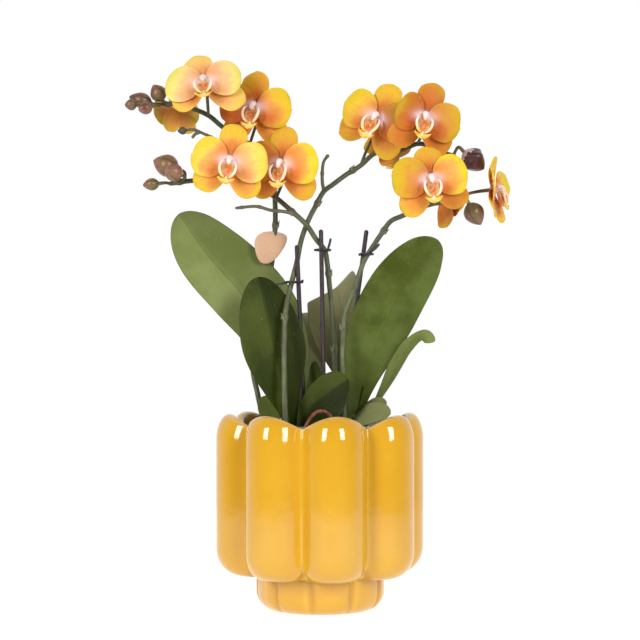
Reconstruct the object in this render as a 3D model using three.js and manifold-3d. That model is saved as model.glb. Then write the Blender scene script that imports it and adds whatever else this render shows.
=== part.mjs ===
// A potted moth orchid: a lobed ceramic pot on a faceted foot, a clear grower pot full of
// bark inside it, two leafy plants, four flower spikes tied to three stakes, and their blooms
// and buds. Millimetres, +Z up. The origin is the centre of the pot's underside, +X is to the
// right and +Y is to the back.
import * as THREE from "three";
import { mergeVertices } from "three/addons/utils/BufferGeometryUtils.js";
import Module from "manifold-3d";

const wasm = await Module();
wasm.setup();

// Driving dimensions
const GAP = 0.3; // between pieces that touch

const POT = {
  lobes: 8,
  crestTurn: 10.3, // degrees from the front towards +X to the nearest crest
  lobeCentre: 45.9, // from the axis to the middle of a lobe
  lobeRadius: 19.7,
  bodyBottom: 21.5,
  coreRadius: 50.5, // of the plain round body between the lobes
  coreBottom: 43.9,
  cornerHeight: 17, // rounding of each lobe's lower end
  cornerDepth: 15.5,
  valleyTop: 113.5,
  crestTop: 121.6,
  shoulder: 15.8, // height of the part that curves in to the lip
  crestInset: 8.2,
  valleyInset: 1.2,
  wall: 4.5,
  lip: 3.2,
  lipFall: 0.8, // from the outer to the inner edge of the lip
  ledge: 25.5, // the grower pot stands on it
  ledgeOuter: 40.5,
  ledgeRadius: 33,
  floor: 5,
  floorRadius: 29,
  columns: 64,
};
const FOOT = { facets: 10, radius: 40, facetDepth: 1.1, flatRadius: 28.5, corner: 12 };
const GROWER = { bottomRadius: 37, rimRadius: 45.2, top: 115, wall: 1, sides: 26 };
const BARK = { top: 107.5, bottom: 30, relief: 1.9, rings: 3 };
const CROWN = { radius: 5.6, bottom: 92, top: 121 };
const STAKE_RADIUS = 1.4;
const LEAF_THICKNESS = { midrib: 1.9, edge: 1 };
const PETAL_THICKNESS = 0.8;
const HUB = { radius: 3.4, depth: 2.8 };

const V = (x, y, z) => new THREE.Vector3(x, y, z);
const vectors = (list) => list.map((p) => V(...p));
const radians = THREE.MathUtils.degToRad;
const mix = THREE.MathUtils.lerp;

// The same draws on every run
let seed = 7;
function random() {
  seed = (seed * 16807) % 2147483647;
  return seed / 2147483647;
}

// Solids from vertices and triangles, and from a closed geometry
function solidFrom(points, triangles) {
  return new wasm.Manifold(
    new wasm.Mesh({
      numProp: 3,
      vertProperties: new Float32Array(points.flatMap((p) => [p.x, p.y, p.z])),
      triVerts: new Uint32Array(triangles.flat()),
    }),
  );
}

function solidOfGeometry(geometry) {
  geometry.deleteAttribute("normal");
  geometry.deleteAttribute("uv");
  const merged = mergeVertices(geometry, 1e-3);
  return new wasm.Manifold(
    new wasm.Mesh({
      numProp: 3,
      vertProperties: new Float32Array(merged.attributes.position.array),
      triVerts: new Uint32Array(merged.index.array),
    }),
  );
}

function union(solids) {
  return solids.reduce((sum, next) => sum.add(next));
}

const orchid = new THREE.Group();

function place(name, solid, colour, roughness = 0.6) {
  const made = solid.getMesh();
  const geometry = new THREE.BufferGeometry();
  geometry.setAttribute("position", new THREE.BufferAttribute(made.vertProperties, made.numProp));
  geometry.setIndex(new THREE.BufferAttribute(made.triVerts, 1));
  const material = new THREE.MeshStandardMaterial({ color: colour, roughness, metalness: 0 });
  const mesh = new THREE.Mesh(geometry, material);
  mesh.name = name;
  orchid.add(mesh);
}

// A closed skin over rings of equal count that run counter-clockwise round the way they climb
function ringSolid(rings) {
  const n = rings[0].length;
  const points = rings.flat();
  const centre = (ring) => ring.reduce((sum, p) => sum.add(p), V(0, 0, 0)).divideScalar(n);
  const first = points.push(centre(rings[0])) - 1;
  const last = points.push(centre(rings[rings.length - 1])) - 1;
  const triangles = [];
  for (let j = 0; j < n; j++) {
    const k = (j + 1) % n;
    for (let i = 0; i + 1 < rings.length; i++) {
      const low = i * n;
      const high = low + n;
      triangles.push([low + j, low + k, high + j], [low + k, high + k, high + j]);
    }
    const end = (rings.length - 1) * n;
    triangles.push([first, k, j], [last, end + j, end + k]);
  }
  return solidFrom(points, triangles);
}

// A round rod along a smooth curve, with its radius a function of the way along it
function rod(path, radiusAt, sides, steps) {
  const curve = new THREE.CatmullRomCurve3(path, false, "centripetal");
  const frames = curve.computeFrenetFrames(steps, false);
  const rings = [];
  for (let i = 0; i <= steps; i++) {
    const centre = curve.getPointAt(i / steps);
    const radius = radiusAt(i / steps);
    const ring = [];
    for (let j = 0; j < sides; j++) {
      const turn = (2 * Math.PI * j) / sides;
      ring.push(
        centre
          .clone()
          .addScaledVector(frames.normals[i], radius * Math.cos(turn))
          .addScaledVector(frames.binormals[i], radius * Math.sin(turn)),
      );
    }
    rings.push(ring);
  }
  return ringSolid(rings);
}

// A thin blade: both faces stand half a thickness off a middle surface and split alike
function blade(rows, columns, middle, halfThickness) {
  const step = 0.01;
  const points = [];
  for (const side of [1, -1]) {
    for (let i = 0; i <= rows; i++) {
      for (let j = 0; j <= columns; j++) {
        const u = i / rows;
        const v = (2 * j) / columns - 1;
        const along = middle(u + step, v).sub(middle(u - step, v));
        const across = middle(u, v + step).sub(middle(u, v - step));
        const normal = along.cross(across).normalize();
        points.push(middle(u, v).addScaledVector(normal, side * halfThickness(u, v)));
      }
    }
  }
  const wide = columns + 1;
  const back = (rows + 1) * wide;
  const at = (i, j) => i * wide + j;
  const triangles = [];
  const wallBetween = (a, b) => triangles.push([a, a + back, b], [a + back, b + back, b]);
  for (let i = 0; i < rows; i++) {
    for (let j = 0; j < columns; j++) {
      const [a, b, c, d] = [at(i, j), at(i + 1, j), at(i + 1, j + 1), at(i, j + 1)];
      triangles.push([a, b, c], [a, c, d]);
      triangles.push([a + back, c + back, b + back], [a + back, d + back, c + back]);
    }
    wallBetween(at(i, 0), at(i + 1, 0));
    wallBetween(at(i + 1, columns), at(i, columns));
  }
  for (let j = 0; j < columns; j++) {
    wallBetween(at(0, j + 1), at(0, j));
    wallBetween(at(rows, j), at(rows, j + 1));
  }
  return solidFrom(points, triangles);
}

// Ceramic pot: eight upright lobes round a plain core, a scalloped lip that curves in, and a
// foot with ten soft facets. It is hollow down into the foot, with a ledge inside.
function potProfile() {
  const sector = (2 * Math.PI) / POT.lobes;
  const facetSector = (2 * Math.PI) / FOOT.facets;
  const crest = -Math.PI / 2 + radians(POT.crestTurn);
  const offCrest = (turn) => {
    const t = (((turn - crest) % sector) + sector) % sector;
    return Math.min(t, sector - t);
  };
  // How far a ray at this angle runs to a lobe of this radius, or to the round core if farther
  const lobed = (turn, lobeRadius, core) => {
    const phi = offCrest(turn);
    const across = POT.lobeCentre * Math.sin(phi);
    if (lobeRadius <= across) return core;
    const reach = POT.lobeCentre * Math.cos(phi) + Math.sqrt(lobeRadius ** 2 - across ** 2);
    return Math.max(reach, core);
  };
  const rise = (turn) => Math.cos((Math.PI * offCrest(turn)) / sector);
  const lipZ = (turn) => mix(POT.valleyTop, POT.crestTop, rise(turn));
  const inset = (turn) => mix(POT.valleyInset, POT.crestInset, rise(turn));
  const foot = (turn) =>
    FOOT.radius - FOOT.facetDepth * Math.abs(Math.cos((Math.PI * (turn - crest)) / facetSector)) ** 4;
  const coreAt = (z) => {
    const t = Math.min(1, (z - POT.bodyBottom) / POT.cornerHeight);
    return mix(POT.coreBottom, POT.coreRadius, Math.sqrt(1 - (1 - t) ** 2));
  };
  return { lobed, lipZ, inset, foot, coreAt };
}

function makePot() {
  const { lobed, lipZ, inset, foot, coreAt } = potProfile();
  const rows = [];
  const row = (radiusAt, heightAt) => rows.push([radiusAt, heightAt]);
  const full = (turn) => lobed(turn, POT.lobeRadius, POT.coreRadius);
  const inner = (turn) => full(turn) - POT.wall;

  row(() => FOOT.flatRadius, () => 0);
  for (const share of [0.3, 0.62, 1]) {
    const swing = (share * Math.PI) / 2;
    row(
      (turn) => mix(FOOT.flatRadius, foot(turn), Math.sin(swing)),
      () => FOOT.corner * (1 - Math.cos(swing)),
    );
  }
  row(foot, () => POT.bodyBottom - 0.4);
  for (const share of [0.02, 0.14, 0.42, 1]) {
    const z = POT.bodyBottom + POT.cornerHeight * share;
    const shrink = POT.cornerDepth * (1 - Math.sqrt(1 - (1 - share) ** 2));
    row((turn) => lobed(turn, POT.lobeRadius - shrink, coreAt(z)), () => z);
  }
  row(full, (turn) => lipZ(turn) - POT.shoulder);
  for (const share of [0.55, 1]) {
    const swing = (share * Math.PI) / 2;
    row(
      (turn) => full(turn) - inset(turn) * (1 - Math.cos(swing)),
      (turn) => lipZ(turn) - POT.shoulder * (1 - Math.sin(swing)),
    );
  }
  row((turn) => full(turn) - inset(turn) - POT.lip, (turn) => lipZ(turn) - POT.lipFall);
  row(inner, (turn) => lipZ(turn) - POT.shoulder);
  row(inner, () => POT.ledge + POT.cornerHeight);
  row(() => POT.ledgeOuter, () => POT.ledge);
  row(() => POT.ledgeRadius, () => POT.ledge);
  row(() => POT.floorRadius, () => POT.floor);

  const rings = rows.map(([radiusAt, heightAt]) => {
    const ring = [];
    for (let j = 0; j < POT.columns; j++) {
      const turn = (2 * Math.PI * j) / POT.columns - Math.PI / 2 + radians(POT.crestTurn);
      const radius = radiusAt(turn);
      ring.push(V(radius * Math.cos(turn), radius * Math.sin(turn), heightAt(turn)));
    }
    return ring;
  });
  return ringSolid(rings);
}

// Clear grower pot: a thin tapered cup with a rolled rim, standing on the ledge
function makeGrowerPot() {
  const { bottomRadius, rimRadius, top, wall, sides } = GROWER;
  const bottom = POT.ledge + GAP;
  const underRim = rimRadius - 1.6;
  const profile = [
    [0, bottom],
    [bottomRadius, bottom],
    [underRim, top - 5],
    [rimRadius, top - 4],
    [rimRadius, top],
    [underRim - wall, top],
    [underRim - wall, top - 5],
    [bottomRadius - wall, bottom + wall],
    [0, bottom + wall],
  ];
  const lathe = new THREE.LatheGeometry(
    profile.map(([r, z]) => new THREE.Vector2(r, z)),
    sides,
  );
  return solidOfGeometry(lathe.rotateX(Math.PI / 2));
}

// Bark chips fill the grower pot to an uneven top
function makeBark(standing) {
  const { bottom: low, rings: ringCount, relief, top } = BARK;
  const wallTop = GROWER.top - 5;
  const insideAt = (z) => {
    const run = (z - POT.ledge - GAP) / (wallTop - POT.ledge - GAP);
    return mix(GROWER.bottomRadius, GROWER.rimRadius - 1.6, run) - GROWER.wall - 2 * GAP;
  };
  const rings = [];
  const ring = (radius, heightAt) => {
    const points = [];
    for (let j = 0; j < GROWER.sides; j++) {
      const turn = (2 * Math.PI * j) / GROWER.sides;
      points.push(V(radius * Math.cos(turn), radius * Math.sin(turn), heightAt()));
    }
    rings.push(points);
  };
  const flatten = 0.992; // the corners of the bark stay inside the flats of the cup
  ring(insideAt(low) * flatten, () => low);
  ring(insideAt(top - 4) * flatten, () => top - 4);
  for (let i = 0; i < ringCount; i++) {
    const radius = insideAt(top) * (0.97 - (0.85 * i) / ringCount);
    ring(radius, () => top + relief * (2 * random() - 1));
  }
  return standing.reduce((bark, solid) => bark.subtract(solid), ringSolid(rings));
}

// Crown: the short stem that each plant's leaves clasp
const crowns = {
  crown_left: [-17.5, -1.5],
  crown_right: [20.5, 0],
};

function makeCrown([x, y], grow = 0) {
  const rings = [];
  const levels = [
    [CROWN.bottom, 0.8],
    [CROWN.bottom + 10, 1],
    [CROWN.top - 8, 0.95],
    [CROWN.top - 2, 0.7],
    [CROWN.top, 0.3],
  ];
  for (const [z, share] of levels) {
    const radius = CROWN.radius * share + grow;
    const ring = [];
    for (let j = 0; j < 10; j++) {
      const turn = (2 * Math.PI * j) / 10;
      ring.push(V(x + radius * Math.cos(turn), y + radius * 0.9 * Math.sin(turn), z));
    }
    rings.push(ring);
  }
  rings[0].forEach((p) => (p.z -= grow));
  rings[rings.length - 1].forEach((p) => (p.z += grow));
  return ringSolid(rings);
}

// Leaves: an arched spine from the crown to the tip, a facing side, and the greatest half width.
// fold is how far the halves rise to the facing side, as a share of the half width. lean broadens
// one half and narrows the other towards the base.
const leaves = {
  leaf_upper_left: {
    crown: "crown_left",
    spine: [
      [-18, 3, 112],
      [-19.2, 5.5, 126],
      [-22.4, 8, 148],
      [-34.5, 11, 175.8],
      [-50.8, 13.5, 197.5],
      [-71.4, 13.5, 221],
      [-83.6, 11, 238],
      [-89.5, 8, 246.6],
    ],
    face: [-0.1, -0.92, 0.35],
    halfWidth: 23.4,
    swell: 1.5,
    lean: 0.3,
    fold: 0.24,
    rows: 11,
  },
  leaf_front_left: {
    crown: "crown_left",
    spine: [
      [-18.5, -5, 112],
      [-20, -10.5, 123],
      [-24, -14, 139.5],
      [-28, -15.5, 158],
      [-32.3, -15.5, 176.5],
      [-36, -14.5, 193],
      [-39, -13, 206],
    ],
    face: [0.17, -0.94, 0.2],
    halfWidth: 20,
    fold: 0.22,
    tip: 1.7,
    rows: 10,
  },
  leaf_right: {
    crown: "crown_right",
    spine: [
      [22, -1, 112],
      [23.2, 1, 124],
      [27.6, 3, 142.5],
      [33.3, 4, 160.3],
      [41.3, 4, 179.3],
      [51.6, 2, 200.3],
      [63.8, -2, 218.5],
      [73.5, -6, 229.2],
    ],
    face: [0.1, -0.97, 0.2],
    halfWidth: 19.4,
    swell: 1.7,
    lean: -0.3,
    fold: 0.26,
    rows: 11,
  },
  leaf_back_right: {
    crown: "crown_right",
    spine: [
      [21.2, 5, 112],
      [20.5, 13, 125],
      [19, 20, 143],
      [16.5, 27, 165],
      [14, 36, 187],
      [11, 49, 200.5],
      [10, 66, 199],
      [10, 80, 190],
    ],
    face: [-0.5, -0.5, 0.7],
    halfWidth: 19,
    swell: 4,
    lean: -0.6,
    fold: 0.22,
    rows: 10,
  },
  leaf_back_left: {
    crown: "crown_left",
    spine: [
      [-12.6, 4.2, 111],
      [-10.6, 14, 121],
      [-10, 27, 137],
      [-10, 38, 155],
      [-11.5, 52, 172],
      [-14, 68, 183],
      [-18, 84, 185],
    ],
    face: [0.12, -0.5, 0.85],
    halfWidth: 14,
    fold: 0.25,
    rows: 8,
  },
  leaf_low_front: {
    crown: "crown_left",
    spine: [
      [-13.8, -7.3, 111],
      [-11, -13.5, 119],
      [-5, -17.5, 127.5],
      [4, -21.5, 134.5],
      [11, -24, 139.5],
      [17, -26, 143.5],
    ],
    face: [-0.22, -0.93, 0.3],
    halfWidth: 14.5,
    lean: 0.7,
    fold: 0.15,
    tip: 2,
    rows: 7,
  },
  leaf_slender_right: {
    crown: "crown_right",
    spine: [
      [27, 2, 111],
      [31.5, 1.5, 122],
      [37.3, -4, 132.5],
      [43, -9, 143],
      [48.8, -11, 153.5],
      [55, -13, 163.5],
      [62.5, -13, 169.5],
      [71, -13, 167],
    ],
    face: [-0.76, -0.44, 0.48],
    halfWidth: 8.6,
    swell: 3,
    fold: 0.2,
    tip: 1.8,
    rows: 9,
  },
  leaf_over_rim: {
    crown: "crown_right",
    spine: [
      [20.5, -6, 111],
      [20.5, -13, 116.5],
      [26, -20, 120],
      [34.5, -25.5, 122.5],
      [42.5, -29, 121.8],
    ],
    face: [-0.1, -0.72, 0.69],
    halfWidth: 9,
    swell: 1.1,
    fold: 0.12,
    rows: 6,
  },
  leaf_short_right: {
    crown: "crown_right",
    spine: [
      [25.2, -4.2, 110],
      [27.5, -8, 117.5],
      [31.5, -11, 124],
      [36.5, -13, 127.8],
      [41, -13.5, 128.5],
    ],
    face: [-0.1, -0.75, 0.65],
    halfWidth: 6.2,
    swell: 1.6,
    fold: 0.15,
    rows: 5,
  },
  leaf_short_back: {
    crown: "crown_left",
    spine: [
      [-24.2, -1.2, 111],
      [-29, 4, 115],
      [-32, 9, 122.5],
      [-36, 11, 132],
    ],
    face: [0.1, -0.92, 0.3],
    halfWidth: 7,
    fold: 0.2,
    rows: 5,
  },
  leaf_young: {
    crown: "crown_left",
    spine: [
      [-10.8, -1.5, 112],
      [-5.8, 3, 124],
      [-4, 7.5, 139],
      [-3.6, 10, 154],
    ],
    face: [0.2, -0.95, 0.1],
    halfWidth: 4.5,
    fold: 0.3,
    rows: 6,
  },
};

// Half width of a leaf along it: a narrow channelled base, broadest past the middle, round tip.
// A lower swell broadens it sooner, and a lower tip power makes it more pointed.
const LEAF = { base: 0.21, widest: 0.58, end: 0.11 };

function leafOutline(u, swell, tip) {
  if (u < LEAF.widest) {
    const run = Math.max(0, u / LEAF.widest);
    return mix(LEAF.base, 1, Math.sin((run * Math.PI) / 2) ** swell);
  }
  const over = (u - LEAF.widest) / (1 - LEAF.widest);
  return Math.max(LEAF.end, Math.sqrt(1 - over ** tip));
}

function makeLeaf(leaf, grow = 0) {
  const { spine, face, halfWidth, fold, rows, swell = 1.9, tip = 2.6, lean = 0 } = leaf;
  const curve = new THREE.CatmullRomCurve3(vectors(spine), false, "centripetal");
  const towards = V(...face).normalize();
  const middle = (u, v) => {
    const t = THREE.MathUtils.clamp(u, 0, 1);
    const along = curve.getTangentAt(t);
    const across = along.clone().cross(towards).normalize();
    const out = across.clone().cross(along).normalize();
    const reach = halfWidth * leafOutline(t, swell, tip) + grow;
    const raised = fold * reach * (1.25 * Math.abs(v) - 0.25 * v * v) * (1 - 0.35 * t);
    return curve
      .getPointAt(t)
      .addScaledVector(along, (u - t) * 10)
      .addScaledVector(across, reach * v * (1 + lean * v * (1 - t)))
      .addScaledVector(out, raised);
  };
  const { midrib, edge } = LEAF_THICKNESS;
  return blade(rows, 4, middle, (u, v) => mix(midrib, edge, Math.abs(v)) / 2 + grow);
}

// Blooms: the centre, where it faces (yaw from the front towards +X, pitch up) and its roll.
// turns swings each petal and sepal from its usual place in degrees, reach is its share of the usual
// length, and cup curls them all forwards.
const blooms = [
  {
    at: [-71.4, -22, 324.6],
    yaw: -6,
    pitch: 25,
    roll: -8,
    size: 1.04,
    turns: [12, -20, 13, 0, 0],
    reach: [1, 0.86, 1, 1, 0.95],
  },
  { at: [-40.7, -6, 312.2], yaw: -15, pitch: 5, roll: 5, size: 1.02, turns: [8, 0, 0, 0, -7] },
  { at: [-55.2, -34, 276], yaw: 0, pitch: 0, roll: 9.5, size: 1, turns: [0, -2, 2, 6, -3] },
  { at: [-23.9, -20, 275.4], yaw: -16, pitch: 0, roll: 1, size: 1.02, turns: [-3, -4, 0, 0, -7] },
  { at: [-91.4, 12, 313.4], yaw: -150, pitch: -12, roll: 0, size: 0.7, turns: [0, 14, -14, 24, -24] },
  { at: [35.2, -9, 305.4], yaw: -16, pitch: 3, roll: 25, size: 1.02, turns: [0, -8, 0, 6, 0] },
  {
    at: [63.4, -28, 303.6],
    yaw: 5,
    pitch: 0,
    roll: 11,
    size: 0.98,
    turns: [-8, 0, 0, 0, -13],
    reach: [1, 1, 1, 0.76, 1],
  },
  {
    at: [66.2, -44, 264],
    yaw: 5,
    pitch: 0,
    roll: -5,
    size: 1,
    turns: [0, 0, 9, 0, 0],
    reach: [0.86, 1, 1, 1, 1],
  },
  { at: [40.3, 19, 287.4], yaw: 160, pitch: -40, roll: 37, size: 0.74, turns: [0, 0, -39, -12, 80] },
  { at: [77.3, 12, 256], yaw: 130, pitch: -8, roll: 74, size: 0.82, turns: [0, 0, 0, 0, -109] },
  { at: [107.3, -10, 260.5], yaw: 72, pitch: 5, roll: 3, size: 0.9, cup: 0.3 },
];

// Petals and sepals of one bloom in its own frame: x to the right, y up, z out of its face
const SEPAL = { width: 18, claw: 0.05, fan: 1, columns: 2 };
const PETAL = { width: 25, claw: 0.03, fan: 0.6, columns: 3 };
const TEPALS = [
  { ...SEPAL, turn: 90, length: 21.2, rise: -1.3, bend: -0.04 },
  { ...SEPAL, turn: 229, length: 24.2, rise: -1.1, bend: -0.1 },
  { ...SEPAL, turn: 314, length: 24.8, rise: -2.1, bend: -0.1 },
  { ...PETAL, turn: 172, length: 21.8, rise: 1.4, bend: -0.07 },
  { ...PETAL, turn: 8, length: 21.8, rise: 1.4, bend: -0.07 },
];

function bloomFrame({ at, yaw, pitch, roll, size }) {
  const [y, p, r] = [yaw, pitch, roll].map(radians);
  const out = V(Math.sin(y) * Math.cos(p), -Math.cos(y) * Math.cos(p), Math.sin(p));
  const level = V(Math.cos(y), Math.sin(y), 0);
  const upright = out.clone().cross(level);
  const up = upright.clone().multiplyScalar(Math.cos(r)).addScaledVector(level, Math.sin(r));
  const right = level.clone().multiplyScalar(Math.cos(r)).addScaledVector(upright, -Math.sin(r));
  const frame = new THREE.Matrix4().makeBasis(right, up, out).setPosition(...at);
  return frame.scale(V(size, size, size));
}

function makeTepal({ turn, length, width, rise, bend, claw, fan, columns }, frame) {
  const angle = radians(turn);
  const middle = (u, v) => {
    const open = Math.max(0, Math.sin(Math.PI * (claw + (0.86 - claw) * u)));
    const half = (width / 2) * open ** fan;
    const along = 1.6 + length * (u - 0.13 * v * v * u * Math.abs(u));
    const across = half * v;
    const out = rise + bend * length * u * u - 0.03 * width * v * v * u;
    return V(
      along * Math.cos(angle) - across * Math.sin(angle),
      along * Math.sin(angle) + across * Math.cos(angle),
      out,
    ).applyMatrix4(frame);
  };
  return blade(4, columns, middle, () => PETAL_THICKNESS / 2);
}

function makeHub(frame) {
  const hub = new THREE.SphereGeometry(1, 6, 3).rotateX(Math.PI / 2);
  hub.scale(HUB.radius, HUB.radius, HUB.depth);
  return solidOfGeometry(hub.applyMatrix4(frame));
}

function makeBloom(bloom) {
  const { turns = [0, 0, 0, 0, 0], reach = [1, 1, 1, 1, 1], cup = 0 } = bloom;
  const frame = bloomFrame(bloom);
  const tepals = TEPALS.map((tepal, i) => {
    const turn = tepal.turn + turns[i];
    const length = tepal.length * reach[i];
    return makeTepal({ ...tepal, turn, length, bend: tepal.bend + cup }, frame);
  });
  return union([makeHub(frame), ...tepals]);
}

// The column with the lip below it: a cupped blade whose sides stand up as two arms that
// curve in, and whose end forks in two tips. Half width, rise and reach of the sides by rows.
const LIP = {
  halfWidth: [1.6, 5.7, 2, 5],
  sideRise: [0, 6.5, 0.5, 2.4],
  sideReach: [0, 3, 1, 1.6],
  length: 14,
  reach: 4.5,
};

function rowValue(list, u) {
  const run = THREE.MathUtils.clamp(u, 0, 1) * (list.length - 1);
  const i = Math.min(Math.floor(run), list.length - 2);
  return mix(list[i], list[i + 1], run - i);
}

function makeLip(bloom) {
  const frame = bloomFrame(bloom);
  const { size } = bloom;
  const middleLine = [
    [0, 0.6, HUB.depth + GAP],
    [0, 1, 5],
    [0, 0.2, 8],
  ];
  const column = rod(
    vectors(middleLine).map((p) => p.applyMatrix4(frame)),
    (t) => size * mix(1.6, 2.2, Math.sin(Math.PI * t)),
    5,
    2,
  );
  const middle = (u, v) =>
    V(
      v * rowValue(LIP.halfWidth, u),
      0.3 - LIP.length * u + v * v * rowValue(LIP.sideRise, u),
      4.2 + LIP.reach * Math.sin(Math.PI * 0.8 * u) + v * v * rowValue(LIP.sideReach, u),
    ).applyMatrix4(frame);
  return column.add(blade(3, 4, middle, () => (PETAL_THICKNESS * size) / 2));
}

// Where a flower stalk meets the back of a bloom, and a point behind it to arrive from
function backOf(bloom) {
  const frame = bloomFrame(bloom);
  return [V(0, 0, -10), V(0, 0, -HUB.depth - GAP / bloom.size)].map((p) => p.applyMatrix4(frame));
}

// Buds: the middle, the way they point, length and radius
const buds = [
  { at: [-101, -8, 321], axis: [-0.5, -0.3, 0.8], length: 11.5, radius: 5.2 },
  { at: [-112.3, -3, 317], axis: [-0.95, 0, 0.3], length: 15, radius: 5 },
  { at: [-117.4, -12.5, 313], axis: [-0.9, -0.4, -0.1], length: 8, radius: 3.6 },
  { at: [-108.3, -15, 310.5], axis: [-0.75, -0.6, -0.3], length: 10, radius: 4 },
  { at: [-95.8, -11, 275.6], axis: [-0.9, 0.1, 0.35], length: 17, radius: 7 },
  { at: [-90.1, -25, 270], axis: [-0.6, -0.75, 0.2], length: 12.5, radius: 5.6 },
  { at: [-104.5, -16, 263.3], axis: [-0.97, 0, -0.1], length: 10.4, radius: 3.9 },
  { at: [95.5, -4, 279.3], axis: [0.75, 0, -0.66], length: 17, radius: 7.4, dark: true },
  { at: [95.4, -12, 245.3], axis: [0.5, 0, -0.87], length: 15.5, radius: 6.4 },
];

function makeBud({ at, axis, length, radius }) {
  const centre = V(...at);
  const way = V(...axis).normalize();
  const ends = [-0.5, -0.2, 0.15, 0.5].map((t) => centre.clone().addScaledVector(way, t * length));
  const outline = (t) => radius * Math.max(0.22, Math.sin(Math.PI * Math.min(t ** 0.85, 0.985)) ** 0.7);
  return rod(ends, outline, 6, 5);
}

function baseOf({ at, axis, length }) {
  const way = V(...axis).normalize();
  const base = V(...at).addScaledVector(way, -length / 2);
  return [base.clone().addScaledVector(way, -4), base.addScaledVector(way, -GAP)];
}

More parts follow.
